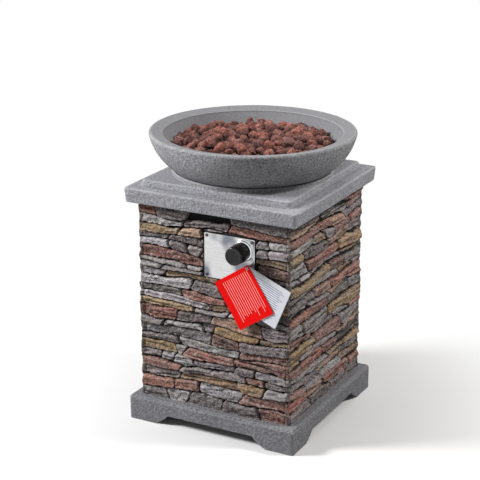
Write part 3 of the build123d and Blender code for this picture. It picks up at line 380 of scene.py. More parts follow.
def make_concrete(name, dark, light, pit, bright):
    """Cast sandy concrete: speckled greys, soft stains, pale grains, small air pits, worn edges and painted
    shade in inner corners.
    """
    material, tree, shader = start_material(name)
    dark, light, pit, bright = (ink(*tone) for tone in (dark, light, pit, bright))
    even = tuple(0.97 * low + 0.03 * high for low, high in zip(dark, light))
    grain = sandy(tree, grain=430.0, blotch=16.0, pits=150.0, share=0.08)
    fleck = sandy(tree, grain=235.0, blotch=55.0, pits=250.0, share=0.24)
    glint = sandy(tree, grain=120.0, blotch=90.0, pits=240.0, share=0.26)
    trowelled, edge = attribute(tree, "trowelled"), attribute(tree, "edge")
    colour = layered(
        tree, dark,
        (light, fleck["Grain"], 0.34, 0.66, 1.0),
        (bright, glint["Pit"], 0.0, 1.0, 0.45),
        (pit, fleck["Pit"], 0.0, 1.0, 0.40),
        (even, trowelled, 0.0, 1.0, 0.85),
        (dark, grain["Blotch"], 0.35, 0.70, 0.35),
        (pit, grain["Pit"], 0.0, 1.0, 0.5),
        (bright, edge, 0.62, 0.95, 0.42),
        # Inner corners take the pit tone: painted shade.
        (pit, edge, 0.42, 0.14, 0.75))
    rough = reckon(tree, "MULTIPLY", fleck["Grain"], ranged(tree, trowelled, 0.0, 1.0, 1.0, 0.25))
    fill(tree, shader.inputs, {
        "Base Color": colour, "Specular IOR Level": 0.3,
        "Roughness": ranged(tree, fleck["Blotch"], 0.3, 0.7, 0.78, 0.95),
        "Normal": bumped(tree, (rough, 6.0, 1.0), (grain["Grain"], 0.5, 0.5),
                         (hollow(tree, grain["Pit"]), 0.8, 0.7))})
    return material


def make_ledge_stone():
    """Painted stones: the colour of each stone, streaks along the bed, pale flecks, dark joints and painted
    shade.
    """
    material, tree, shader = start_material("ledge_stone")
    grain = sandy(tree, grain=120.0, blotch=45.0, pits=240.0, share=0.3, flatness=3.0)
    fine = sandy(tree, grain=260.0, blotch=90.0, pits=300.0, share=0.25, flatness=1.5)
    colour = layered(
        tree, attribute(tree, "stone_colour", "Color"),
        (ink(52, 47, 46), grain["Grain"], 0.54, 0.36, 0.50),
        (ink(186, 178, 173), fine["Blotch"], 0.54, 0.68, 0.40),
        (ink(38, 34, 33), fine["Pit"], 0.0, 1.0, 0.50),
        (ink(44, 39, 38), fine["Grain"], 0.50, 0.38, 0.50),
        (ink(204, 196, 190), fine["Grain"], 0.53, 0.66, 0.50),
        # Near-black in joints and cracks, and painted shade in recesses, hollows and round the plate.
        (ink(13, 11, 11), attribute(tree, "joint_and_painted_shade"), 0.44, 0.08, 0.96))
    fill(tree, shader.inputs, {
        "Base Color": colour, "Specular IOR Level": 0.25,
        "Roughness": ranged(tree, fine["Grain"], 0.3, 0.7, 0.72, 0.98),
        "Normal": bumped(tree, (grain["Grain"], 1.6, 0.6), (fine["Grain"], 1.5, 0.8))})
    return material


def make_lava():
    """Porous volcanic rock: each stone has its own tone, with open pores, and painted shade where it lies
    deep.
    """
    material, tree, shader = start_material("lava_rock")
    grain = sandy(tree, grain=330.0, blotch=70.0, pits=300.0, share=0.7)
    big = sandy(tree, grain=150.0, blotch=30.0, pits=170.0, share=0.55)
    ramp = tree.nodes.new("ShaderNodeValToRGB")
    fill(tree, ramp.inputs, {"Fac": attribute(tree, "tone")})
    stops = ramp.color_ramp.elements
    stops[0].color = ink(44, 26, 24)
    stops[1].color = ink(184, 122, 106)
    between = {0.3: (88, 50, 45), 0.5: (128, 72, 62), 0.7: (140, 98, 92), 0.85: (164, 94, 79)}
    for place, tone in between.items():
        stops.new(place).color = ink(*tone)
    colour = layered(
        tree, ramp.outputs["Color"],
        (ink(76, 46, 43), grain["Blotch"], 0.4, 0.65, 0.55),
        (ink(204, 148, 134), grain["Grain"], 0.47, 0.68, 0.58),
        (ink(36, 23, 22), grain["Pit"], 0.0, 1.0, 0.85),
        (ink(32, 21, 20), big["Pit"], 0.0, 1.0, 0.8),
        # Painted shade on rocks that lie deep in the pile.
        (ink(22, 13, 12), attribute(tree, "sunk"), 0.0, 1.0, 0.92))
    pores = bumped(tree, (big["Grain"], 4.0, 0.9), (hollow(tree, big["Pit"]), 1.6, 0.9),
                   (hollow(tree, grain["Pit"]), 0.9, 0.9))
    fill(tree, shader.inputs, {
        "Base Color": colour, "Specular IOR Level": 0.35, "Normal": pores,
        "Roughness": ranged(tree, grain["Grain"], 0.3, 0.7, 0.8, 1.0)})
    return material


def make_drawn_metal(name, dark, light, rough, density, bump, painted_reflection):
    """Metal with fine drawn or brushed lines, slow waves and grey smears that are a painted reflection."""
    material, tree, shader = start_material(name)
    lines = placed(tree, drawn_lines, Line_Density=density)
    touched = placed(tree, handling, Smudge_Density=45.0)
    colour = layered(
        tree, ink(*dark),
        (ink(*light), lines["Lines"], 0.3, 0.7, 1.0),
        # Grey smears over the slow waves: painted reflection.
        (ink(104, 110, 123), lines["Waves"], 0.46, 0.62, painted_reflection))
    fill(tree, shader.inputs, {
        "Base Color": colour, "Metallic": 1.0,
        "Roughness": ranged(tree, touched["Smudge"], 0.35, 0.65, rough * 0.8, rough * 1.25),
        "Normal": bumped(tree, (lines["Waves"], 6, 0.10), (lines["Lines"], 0.25, bump))})
    return material


def make_moulded(name, dark, light, rough, metallic, bump, shine=0.5, clear=0.0):
    """Moulded, plated or machined surface with smudges and fine scuffs."""
    material, tree, shader = start_material(name)
    touched = placed(tree, handling)
    fill(tree, shader.inputs, {
        "Base Color": layered(tree, ink(*dark), (ink(*light), touched["Smudge"], 0.35, 0.7, 1.0)),
        "Metallic": metallic, "Specular IOR Level": shine, "Transmission Weight": clear,
        "Roughness": ranged(tree, touched["Smudge"], 0.3, 0.7, rough * 0.75, rough * 1.35),
        "Normal": bumped(tree, (touched["Scuff"], 0.12, bump))})
    return material


def make_card(name, dark, light, ruling, rows, row_start, row_end, margin, shortest, thickness):
    """Coated card with plain ruled rows of uneven length, read from the card's own map."""
    material, tree, shader = start_material(name)
    touched = placed(tree, handling, Smudge_Density=30.0, Scuff_Density=900.0)
    place = add(tree, "ShaderNodeSeparateXYZ", {0: add(tree, "ShaderNodeUVMap", uv_map="card")[0]})
    paper = layered(tree, ink(*dark), (ink(*light), touched["Smudge"], 0.35, 0.7, 1.0))
    across = ranged(tree, place["Y"], row_start, row_end, 0.0, float(rows))
    inside_rows = reckon(tree, "COMPARE", across, rows / 2, rows / 2 - 0.01)
    off_row = reckon(tree, "ABSOLUTE", reckon(tree, "SUBTRACT", reckon(tree, "FRACT", across), 0.5))
    thin = ranged(tree, off_row, thickness * 0.4, thickness * 0.6, 1.0, 0.0)
    chance = add(tree, "ShaderNodeTexWhiteNoise", {"W": reckon(tree, "FLOOR", across)}, noise_dimensions="1D")
    started = reckon(tree, "GREATER_THAN", place["X"], margin)
    row_length = ranged(tree, chance["Value"], 0.0, 1.0, 1.0 - margin, shortest)
    unfinished = reckon(tree, "LESS_THAN", place["X"], row_length)
    ruled = thin
    for mask in (inside_rows, started, unfinished):
        ruled = reckon(tree, "MULTIPLY", ruled, mask)
    fill(tree, shader.inputs, {
        "Base Color": mixed(tree, ruled, paper, ink(*ruling)), "Specular IOR Level": 0.12,
        "Roughness": ranged(tree, touched["Smudge"], 0.3, 0.7, 0.4, 0.6),
        "Normal": bumped(tree, (touched["Scuff"], 0.1, 0.3))})
    return material


# Tones of each cast piece: sand, pale sand, pits (also the painted shade in inner corners) and bright grains
concretes = {
    "cast_concrete": ((121, 121, 124), (190, 190, 194), (66, 66, 69), (218, 218, 220)),
    "cap_concrete": ((142, 142, 148), (196, 196, 203), (82, 82, 87), (218, 218, 222)),
    "base_concrete": ((112, 112, 116), (164, 163, 168), (62, 62, 66), (196, 196, 199)),
}
# Dark and light tone, roughness, line density, line depth and share of grey smears, a painted reflection
drawn_metals = {
    "stainless_steel": ((196, 196, 196), (236, 236, 236), 0.22, 1100.0, 0.10, 0.85),
    "spring_steel": ((110, 110, 112), (150, 150, 152), 0.35, 700.0, 0.2, 0.0),
}
# Dark and light tone, roughness, metal, scuff depth, then shine and clearness where they aren't plain
moulded = {
    "zinc_steel": ((150, 152, 155), (188, 190, 192), 0.38, 1.0, 0.3),
    "dull_screw": ((62, 62, 66), (96, 96, 100), 0.5, 1.0, 0.3),
    "chrome": ((214, 216, 220), (236, 237, 240), 0.10, 1.0, 0.008),
    "black_plastic": ((9, 9, 12), (15, 15, 19), 0.26, 0.0, 0.04, 0.38),
    "brass": ((176, 136, 72), (206, 168, 96), 0.28, 1.0, 0.25),
    "valve_aluminium": ((168, 168, 168), (198, 198, 198), 0.45, 1.0, 0.5),
    "lead_sleeve": ((28, 28, 28), (48, 48, 48), 0.6, 0.0, 0.3),
    "copper_lead": ((170, 104, 74), (200, 132, 98), 0.35, 1.0, 0.3),
    "white_ceramic": ((214, 210, 202), (232, 229, 222), 0.4, 0.0, 0.2),
    "clear_nylon": ((226, 226, 222), (240, 240, 236), 0.2, 0.0, 0.05, 0.5, 0.85),
}
# Dark and light tone, tone of the rows, their number, start and end, margin, shortest row and thickness
cards = {
    "red_card": ((242, 5, 5), (252, 8, 7), (250, 196, 190), 13, 0.08, 0.84, 0.08, 0.76, 0.21),
    "white_card": ((220, 221, 229), (236, 237, 243), (132, 138, 168), 16, 0.10, 0.90, 0.08, 0.82, 0.30),
}
finishes = {"faux_stone": make_ledge_stone(), "lava_rock": make_lava()}
for make, table in ((make_concrete, concretes), (make_drawn_metal, drawn_metals), (make_moulded, moulded),
                    (make_card, cards)):
    finishes.update({name: make(name, *values) for name, values in table.items()})


# Cast pieces

CAST_CELL = 2.4 * MM
QUARTER = 1 - cos(pi / 4)


def make_cast_piece(name, node, finish, ripple):
    """A cast piece over a CAD node, with slightly softened edges."""
    piece = new_object(name, merged_copy(node))
    recast = piece.modifiers.new("recast", "REMESH")
    recast.mode = "VOXEL"
    recast.voxel_size = CAST_CELL
    ease = piece.modifiers.new("ease", "SMOOTH")
    ease.factor = 0.35
    ease.iterations = 1
    cast_surface(applied(piece), node, finish, ripple, 0.0)


def make_bowl():
    """Turned bowl: rim that falls inward, round belly, foot ring, and a hole for the burner in its floor."""
    low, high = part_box("fire_bowl")
    seat, top, radius = low.z / MM, high.z / MM, high.x / MM
    floor, foot_top, lip_top, shoulder = seat + 17, seat + 9.5, top - 5.5, top - 7
    mouth, foot, waist, hole = radius - 32, radius - 51, radius - 57, 26.5
    floor_edge = mouth - 47
    lip_round, rim_round, foot_round, bulge = 3, 4, 3.5, 10
    rise, spread = shoulder - foot_top, radius - waist
    run = np.hypot(spread, rise)
    belly = ((waist + radius) / 2 + bulge * rise / run, (foot_top + shoulder) / 2 - bulge * spread / run)
    lip_low, lip_high = (mouth, lip_top - lip_round), (mouth + lip_round, lip_top)
    lip_middle = (mouth + QUARTER * lip_round, lip_top - QUARTER * lip_round)
    rim_middle = (radius - QUARTER * rim_round, top - QUARTER * (top - shoulder))
    ring_inner, ring_outer = (foot - foot_round, foot_top), (foot, foot_top - foot_round)
    ring_middle = (foot - QUARTER * foot_round, foot_top - QUARTER * foot_round)
    outline = [(hole, floor)]
    outline += line((hole, floor), (floor_edge, floor), 14)
    outline += line((floor_edge, floor), lip_low, 36)
    outline += arc(lip_low, lip_middle, lip_high, 5)
    outline += line(lip_high, (radius - rim_round, top), 12)
    outline += arc((radius - rim_round, top), rim_middle, (radius, shoulder), 6)
    outline += arc((radius, shoulder), belly, (waist, foot_top), 44)
    outline += line((waist, foot_top), ring_inner, 3)
    outline += arc(ring_inner, ring_middle, ring_outer, 5)
    outline += line(ring_outer, (foot, seat), 4)
    outline += line((foot, seat), (hole, seat), 8) + [(hole, floor)]
    piece = lathe("cast_bowl", (0, 0, 0), (0, 0, 1), outline, 400)
    cast_surface(piece, "fire_bowl", "cast_concrete", 0.4 * MM, 1.0)


def edge_turns(mesh, points, normals):
    """How a mesh turns at each point: above 0.5 on outer edges, below it in inner corners."""
    ends = np.empty(len(mesh.edges) * 2, int)
    mesh.edges.foreach_get("vertices", ends)
    first, second = ends.reshape(-1, 2).T
    step = points[second] - points[first]
    step /= np.maximum(np.linalg.norm(step, axis=1), 1e-9)[:, None]
    near = np.bincount(ends, minlength=len(points))
    turn = np.bincount(second, (step * normals[second]).sum(axis=1), len(points))
    turn -= np.bincount(first, (step * normals[first]).sum(axis=1), len(points))
    turn /= near
    spread = np.bincount(first, turn[second], len(points)) + np.bincount(second, turn[first], len(points))
    return np.clip(0.5 + 1.5 * (turn + spread / near), 0, 1)


def cast_surface(piece, node, finish, ripple, trowelled):
    """Hand-smoothed unevenness and small knocks; what doesn't face outward may be trowelled smooth."""
    mesh = piece.data
    points = points_of(mesh)
    normals = np.empty(points.size)
    mesh.vertex_normals.foreach_get("vector", normals)
    normals = normals.reshape(-1, 3)
    waves = ((45, 3, 0.6), (14, 5, 0.3), (6, 7, 0.2))
    swell = sum(scattered(points, size * MM, seed) * share for size, seed, share in waves)
    points += normals * (swell * ripple)[:, None]
    points[:, 2] = np.maximum(points[:, 2], 0)
    mesh.vertices.foreach_set("co", points.ravel())
    radial = points * [1, 1, 0] / np.maximum(np.linalg.norm(points[:, :2], axis=1), 1e-6)[:, None]
    facing_out = (normals * radial).sum(axis=1)
    store(mesh, "trowelled", "FLOAT", (1 - eased(facing_out, 0.15, 0.5)) * trowelled)
    store(mesh, "edge", "FLOAT", edge_turns(mesh, points, normals))
    mesh.update()
    dress(piece, node, finish, 50)


make_cast_piece("cast_base", "base_plinth", "base_concrete", 0.7 * MM)
make_cast_piece("cast_cap", "mantel_cap", "cap_concrete", 0.6 * MM)
make_bowl()


# Stone walls

# Courses from the top, as in the CAD source: height, then length and tone of each stone from left to right
# Tones: R terracotta, B red-brown, O ochre, T tan, G grey, L light grey, D dark grey; a dash is a hollow,
# painted near-black as shade
front_courses = [
    (26, [43, 88, 105, 150], "RD-G"),
    (18, [120, 110, 156], "LGR"),
    (20, [106, 60, 67, 67, 28, 58], "OTGGGL"),
    (20, [75, 91, 70, 64, 30, 56], "GDGGGL"),
    (20, [78, 50, 38, 67, 67, 86], "LDGGGO"),
    (24, [166, 70, 64, 86], "RGGB"),
    (13, [118, 48, 64, 70, 86], "GLGGD"),
    (13, [62, 104, 67, 67, 86], "LGGGG"),
    (16, [70, 140, 90, 86], "GOGD"),
    (20, [138, 75, 90, 83], "LDGG"),
    (22, [116, 108, 70, 92], "DRGO"),
    (20, [180, 70, 70, 66], "LOGD"),
    (14, [140, 90, 70, 86], "OGLG"),
    (27, [98, 88, 130, 70], "RDTG"),
    (14, [68, 102, 22, 118, 76], "GLDOO"),
    (26, [185, 70, 131], "GBD"),
    (20, [102, 160, 124], "DLB"),
    (24, [96, 24, 128, 138], "OGRR"),
    (20, [54, 34, 50, 108, 50, 90], "GLLGDG"),
    (18, [108, 170, 42, 66], "RGBD"),
    (24, [106, 150, 64, 66], "GOOL"),
    (28, [88, 66, 112, 120], "RBLR"),
    (26, [70, 60, 86, 90, 80], "GLGDB"),
]
side_courses = [
    (18, [150, 108, 128], "D-R"),
    (20, [170, 130, 86], "TGB"),
    (22, [205, 80, 101], "RTG"),
    (24, [120, 62, 50, 84, 70], "LTGBR"),
    (24, [70, 130, 110, 76], "ODTG"),
    (28, [90, 170, 126], "LRO"),
    (14, [60, 66, 150, 110], "GLGT"),
    (24, [208, 80, 98], "OBD"),
    (19, [140, 120, 72, 54], "DLOG"),
    (22, [130, 86, 170], "DTR"),
    (12, [100, 110, 80, 96], "LGTR"),
    (24, [106, 104, 110, 66], "RBDG"),
    (30, [76, 128, 182], "LGO"),
    (18, [120, 115, 80, 71], "BDLR"),
    (27, [136, 140, 110], "ORG"),
    (16, [60, 196, 130], "OGT"),
    (26, [126, 60, 74, 126], "RRBD"),
    (16, [205, 90, 91], "GOO"),
    (18, [160, 120, 106], "DTG"),
    (20, [90, 80, 110, 106], "BGLT"),
    (26, [106, 84, 140, 56], "RTRR"),
    (25, [120, 110, 90, 66], "GDGD"),
]
tones = {mark: np.array(ink(*tone)[:3]) for mark, tone in {
    "R": (150, 94, 79), "B": (126, 84, 73), "O": (153, 124, 86), "T": (156, 123, 101),
    "G": (131, 124, 126), "L": (163, 158, 160), "D": (99, 91, 90), "-": (4, 4, 4)}.items()}
seam_tone = np.array(ink(104, 92, 84)[:3])
dust_and_highlight_tone = np.array(ink(172, 165, 162)[:3])

wall_low, wall_high = (corner.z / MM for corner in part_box("front_panel"))
WALL_FACE = 193.0
WALL_INNER = 175.0
SLAB_FRONT = 184.0
STONE_RELIEF = 9.0
RELIEF_VARIATION = 3.0
JOINT_FLOOR = 179.0
HOLLOW_RELIEF = -6.0
HOLLOW_FLOOR = WALL_INNER + 2
CORNER_DEPTH = 191.0
CORNER_PULL = 30.0
SEAM_WIDTH = 6.5
COURSE_WAVE = 3.2
COURSE_WAVE_LENGTH = 260.0
STONE_SLANT = 8.0
EDGE_ROUND = 7.0
GRID_STEP = 1.46
FAR = 1e4
TINY = 1e-6


def noise_over(flat, seed):
    """Noise over the points of a wall, by bump size, number of the layer and squeeze along the bed."""
    def noise(size, layer, along=1.0):
        return scattered(flat * [along, 1, 1], size, seed + layer)
    return noise


def stone_field(courses, mirrored, across, height, seed):
    """Stone number, distance to the stone's edge, relief and colour at points of a wall, in millimetres."""
    count = len(across)
    noise = noise_over(np.column_stack([across, height, np.full(count, 31.0 * seed)]), seed)
    u = across + 4.0 * noise(26, 0) + 1.8 * noise(7, 1)
    v = height + 4.5 * noise(34, 12, 0.3) + 2.4 * noise(15, 2, 0.4) + 1.3 * noise(6, 3)
    thicknesses = [course[0] for course in courses]
    levels = wall_high - np.cumsum([0] + thicknesses) * (wall_high - wall_low) / sum(thicknesses)
    waves = [0] + [COURSE_WAVE] * (len(courses) - 1) + [0]
    phase = 2 * pi * u / COURSE_WAVE_LENGTH
    beds = [level + wave * np.sin(phase + k) for k, (level, wave) in enumerate(zip(levels, waves))]
    beds[0], beds[-1] = np.full(count, FAR), np.full(count, -FAR)
    number, edge, relief, colour = np.full(count, -1), np.zeros(count), np.zeros(count), np.zeros((count, 3))
    chance = np.random.RandomState(seed)
    stone = 0
    for k, (_, lengths, marks) in enumerate(courses):
        order = lengths[::-1] if mirrored else lengths
        names = marks[::-1] if mirrored else marks
        scale = 2 * WALL_FACE / sum(order)
        top, bottom = beds[k], beds[k + 1]
        middle = (levels[k] + levels[k + 1]) / 2
        lean = 2 * (v - middle) / (levels[k] - levels[k + 1])
        left = -WALL_FACE
        for i, (length, mark) in enumerate(zip(order, names)):
            right = left + length * scale
            start = left - STONE_SLANT * sin(2.3 * i + 1.1 * k) * lean if i else np.full(count, -FAR)
            end = right - STONE_SLANT * sin(2.3 * (i + 1) + 1.1 * k) * lean
            end = end if i < len(order) - 1 else np.full(count, FAR)
            here = (v <= top) & (v > bottom) & (u > start) & (u <= end)
            rise = np.minimum(0.65 * (top - v), 1.25 * (v - bottom))[here]
            side = np.minimum(u - start, end - u)[here]
            lost = np.hypot(1 - np.clip(rise / EDGE_ROUND, 0, 1), 1 - np.clip(side / EDGE_ROUND, 0, 1))
            number[here] = stone
            edge[here] = np.maximum(EDGE_ROUND * (1 - lost), 0)
            tilt = chance.uniform(-0.16, 0.02) * (v[here] - middle)
            tilt += chance.uniform(-0.012, 0.012) * (u[here] - (left + right) / 2)
            depth = STONE_RELIEF + RELIEF_VARIATION * sin(7.1 * i + 3.7 * k) + chance.uniform(-4.5, 0.8)
            relief[here] = HOLLOW_RELIEF if mark == "-" else depth + np.clip(tilt, -2.0, 1.6)
            colour[here] = chance.uniform(0.76, 1.20) * tones[mark] * chance.uniform(0.95, 1.05, 3)
            stone += 1
            left = right
    return number, edge, relief, colour


def blurred(grid, passes):
    """Averages a grid with its neighbours several times."""
    for _ in range(passes):
        wide = np.pad(grid, 1, mode="edge")
        grid = (wide[:-2, 1:-1] + wide[2:, 1:-1] + wide[1:-1, :-2] + wide[1:-1, 2:] + wide[1:-1, 1:-1]) / 5
    return grid


def make_wall(name, node, courses, mirrored, turn, seed, open_joint, recess=None, window=None):
    """A wall of stacked stones as it stands at the front, then turned into place about the column's axis."""
    us = np.linspace(-WALL_FACE, WALL_FACE, int(2 * WALL_FACE / GRID_STEP) + 1)
    vs = np.linspace(wall_low, wall_high, int((wall_high - wall_low) / GRID_STEP) + 1)
    if window:
        us = snapped(us, window[0], window[2])
        vs = snapped(vs, window[1], window[3])
    across, height = (part.ravel() for part in np.meshgrid(us, vs))
    number, edge, relief, colour = stone_field(courses, mirrored, across, height, seed)
    flat = np.column_stack([across, height, np.full(len(across), 17.0 * seed)])
    noise = noise_over(flat, seed)
    void = relief < 0

    # Stones with open or filled joints, split layers, cracks and lumps
    gap = open_joint + 2.6 * np.clip(noise(22, 4), 0, 1) ** 1.4
    body = 1 - (1 - np.clip((edge - gap) / (2.2 + 1.0 * noise(40, 5)), 0, 1)) ** 2
    chips, grit = noise(9, 8), noise(3.8, 9)
    slope = np.zeros_like(flat)
    slope[:, 1] = across * 0.10 * np.sign(np.sin(number * 2.4))
    split = noise_over(flat + slope, seed)
    layers = split(6.5, 6, 0.08) + 0.5 * split(3.6, 14, 0.10) + 0.3 * chips
    ledges = 0.4 * layers + 0.6 * np.round(layers * 2.2) / 2.2
    crack = 1 - eased(np.abs(noise(12, 7, 0.03) + 0.06 * chips), 0.01, 0.10)
    crack = crack * eased(noise(22, 10, 0.4), -0.1, 0.3)
    detail = 2.3 * ledges + 1.2 * noise(13, 11, 0.5) + 0.8 * chips + 0.7 * grit
    detail = detail - 2.2 * crack * eased(edge, 1.0, 3.5)
    packed = eased(noise(24, 13, 0.4), -0.1, 0.5)
    joint = JOINT_FLOOR + 6.0 * packed + 0.6 * grit
    depth = joint + np.maximum(SLAB_FRONT + relief + detail - joint, 0.8) * body
    depth = np.where(void, HOLLOW_FLOOR, depth)
    depth = np.clip(depth, HOLLOW_FLOOR, SLAB_FRONT + STONE_RELIEF + RELIEF_VARIATION + 0.5)

    # Joint darkness and paint follow the relief; recesses get painted shade, high spots and upward faces
    # painted highlight
    field = depth.reshape(len(vs), len(us))
    raised = (field - blurred(field, 9)).ravel()
    # How much each spot faces up, for painted highlight on top faces and painted shade under them.
    upward = np.clip(-np.gradient(blurred(field, 1), axis=0) / GRID_STEP, -1, 1).ravel()
    in_joint = (1 - eased(body, 0.0, 0.5)) * (1 - 0.6 * packed)
    # Dark in joints and cracks, and painted shade in recesses.
    joint_and_painted_shade = np.clip(0.5 + raised * 0.20, 0, 1) * (1 - in_joint) * (1 - 0.75 * crack)
    # Hollows are painted black: painted shade.
    joint_and_painted_shade = np.where(void, 0, joint_and_painted_shade)
    colour = painted_stone(colour, noise, raised, upward)

    # Mortar seam down each corner of the column, with a groove beside it
    side = np.abs(across)
    seam_start = WALL_FACE - SEAM_WIDTH
    corner = CORNER_DEPTH + 1.8 * scattered(np.column_stack([height * 0, height, height * 0]), 13, 77)
    band = corner + 3.2 * (WALL_FACE - side) / SEAM_WIDTH - 2.0 * (1 - body) + 0.5 * grit
    toward = eased(side, seam_start - 2, seam_start + 1)
    depth = depth + (np.minimum(band, depth + 3) - depth) * toward
    groove = eased(side, seam_start - 4, seam_start - 1.5) * (1 - toward)
    depth = depth - 3.0 * groove * eased(chips, -0.5, 0.2)
    # The groove beside the seam is darkened: painted shade.
    joint_and_painted_shade = joint_and_painted_shade * (1 - 0.6 * groove)
    joint_and_painted_shade = joint_and_painted_shade + (np.clip(0.42 + 0.10 * grit, 0, 1) - joint_and_painted_shade) * toward
    colour = colour + (seam_tone - colour) * (0.6 * toward)[:, None]
    if recess:
        inside = (across > recess[0]) & (across < recess[2]) & (height > recess[1]) & (height < recess[3])
        depth = np.where(inside, SLAB_FRONT, depth)
        # The recess round the plate is painted dark: painted shade.
        joint_and_painted_shade = np.where(inside, 0.1, joint_and_painted_shade)
    depth = np.where(side > WALL_FACE - TINY, corner, depth)
    pull = (depth - WALL_FACE) * eased(side, WALL_FACE - CORNER_PULL, WALL_FACE)
    face = np.column_stack([across + np.sign(across) * pull, -depth, height])
    mesh = build_wall_mesh(name, face, colour, joint_and_painted_shade, us, vs, window, radians(turn))
    dress(new_object(name, mesh), node, "faux_stone", 60)


def painted_stone(colour, noise, raised, upward):
    """Uneven paint: patches where grey shows through, streaks along the bed, and dry-brushed high spots; high
    spots and faces that look up are lighter and recesses darker, as painted highlight and painted shade.
    """
    patch = np.clip(0.25 + 0.9 * noise(32, 20) + 0.5 * noise(11, 21), 0, 1)
    colour = colour + (tones["G"] * 0.8 - colour) * (0.38 * patch)[:, None]
    streak = 0.50 * noise(4.2, 22, 0.14) + 0.30 * noise(8, 23, 0.5)
    speck = 0.40 * noise(3.6, 24, 0.6)
    # Recesses darker, high spots and faces that look up lighter: painted shade and painted highlight.
    light = np.clip(0.86 + streak + speck + 0.24 * np.clip(raised, -3, 2.0) + 0.36 * upward, 0.06, 2.6)
    # Pale dust on high spots, and painted highlight on faces that look up.
    dust_and_highlight_share = eased(raised + 0.8 * upward + 0.8 * noise(5, 25), 0.5, 1.9) * 0.45
    dust_and_highlight = 0.5 * dust_and_highlight_tone + 0.8 * colour
    colour = colour * light[:, None]
    return colour + (dust_and_highlight - colour) * dust_and_highlight_share[:, None]


def nearest(values, target):
    return np.argmin(np.abs(values - target))


def snapped(values, *targets):
    """Moves the nearest of a row of values onto each target."""
    values = values.copy()
    for target in targets:
        values[nearest(values, target)] = target
    return values


def border(grid):
    """The points round the edge of a grid, in order."""
    return np.concatenate([grid[0, :-1], grid[:-1, -1], grid[-1, :0:-1], grid[:0:-1, 0]])


def build_wall_mesh(name, face, colour, joint_and_painted_shade, us, vs, window, turn):
    """Closes a wall's face with its edges and back, and leaves the window open."""
    grid = np.arange(len(face)).reshape(len(vs), len(us))
    keep = np.ones((len(vs) - 1, len(us) - 1), bool)
    loops = [border(grid)]
    if window:
        left, right = nearest(us, window[0]), nearest(us, window[2])
        low, high = nearest(vs, window[1]), nearest(vs, window[3])
        keep[low:high, left:right] = False
        loops.append(border(grid[low:high + 1, left:right + 1]))
    faces = np.stack([grid[:-1, :-1], grid[:-1, 1:], grid[1:, 1:], grid[1:, :-1]], axis=-1)[keep].tolist()
    points = face
    backs = []
    for loop in loops:
        rim = face[loop].copy()
        at_side = np.abs(us[loop % len(us)]) > WALL_FACE - TINY
        within = np.clip(rim[:, 0], -WALL_INNER, WALL_INNER)
        rim[:, 0] = np.where(at_side, np.sign(rim[:, 0]) * WALL_INNER, within)
        rim[:, 1] = -WALL_INNER
        behind = np.arange(len(points), len(points) + len(loop))
        sides = np.column_stack([np.roll(loop, 1), np.roll(behind, 1), behind, loop])
        faces += (sides if not backs else sides[:, ::-1]).tolist()
        points = np.concatenate([points, rim])
        backs.append(behind.tolist())
    faces += halves_around(*backs, points) if window else [backs[0][::-1]]
    x, y, z = points.T
    turned = np.column_stack([x * cos(turn) - y * sin(turn), x * sin(turn) + y * cos(turn), z])
    mesh = bpy.data.meshes.new(name)
    mesh.from_pydata((turned * MM).tolist(), [], faces)
    full = np.ones((len(points), 4))
    full[:, :3] = tones["D"]
    full[:len(face), :3] = colour
    store(mesh, "stone_colour", "FLOAT_COLOR", full)
    store(mesh, "joint_and_painted_shade", "FLOAT", np.concatenate([joint_and_painted_shade, np.full(len(points) - len(face), 0.5)]))
    return mesh


def halves_around(outer, inner, points):
    """Two flat outlines that together fill the space between an outer loop and an opening in it."""
    middle = points[inner][:, 0].mean()

    def end_of(loop, side):
        heights = points[loop][:, 2] * side
        off = np.abs(points[loop][:, 0] - middle)
        return int(np.argmin(np.where(heights > heights.max() - TINY, off, FAR)))

    def run(loop, start, end):
        return loop[start:end + 1] if start <= end else loop[start:] + loop[:end + 1]

    low, high = ([end_of(loop, side) for loop in (outer, inner)] for side in (-1, 1))
    right = run(outer, low[0], high[0]) + run(inner, low[1], high[1])[::-1]
    left = run(outer, high[0], low[0]) + run(inner, high[1], low[1])[::-1]
    return [right[::-1], left[::-1]]


RECESS_MARGIN = 3
WINDOW_REACH = 23
plate_low, plate_high = (Vector(corner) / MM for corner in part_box("control_plate"))
bezel_low, bezel_high = (Vector(corner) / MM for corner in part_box("knob_bezel"))
knob_x = (bezel_low.x + bezel_high.x) / 2
knob_z = (bezel_low.z + bezel_high.z) / 2
plate_recess = (plate_low.x - RECESS_MARGIN, plate_low.z - RECESS_MARGIN,
                plate_high.x + RECESS_MARGIN, plate_high.z + RECESS_MARGIN)
valve_window = (knob_x - WINDOW_REACH, knob_z - WINDOW_REACH, knob_x + WINDOW_REACH, knob_z + WINDOW_REACH)

make_wall("front_wall", "front_panel", front_courses, False, 0, 11, 0.5, plate_recess, valve_window)
make_wall("right_wall", "right_panel", side_courses, False, 90, 23, 2.3)
make_wall("rear_wall", "rear_panel", side_courses, True, 180, 37, 2.3)
make_wall("left_wall", "left_panel", front_courses, True, 270, 53, 0.5)


# What the trees for rocks and screws share

def random_value(tree, low, high, seed):
    return add(tree, "FunctionNodeRandomValue", {2: low, 3: high, "Seed": seed}, data_type="FLOAT")[1]


def random_vector(tree, low, high, seed):
    return add(tree, "FunctionNodeRandomValue", {0: low, 1: high, "Seed": seed}, data_type="FLOAT_VECTOR")[0]


def give_out(tree, instances, finish):
    """Ends a tree with real geometry in its finish."""
    real = add(tree, "GeometryNodeRealizeInstances", {0: instances})[0]
    painted = add(tree, "GeometryNodeSetMaterial", {"Geometry": real, "Material": finish})[0]
    add(tree, "NodeGroupOutput", {0: painted})


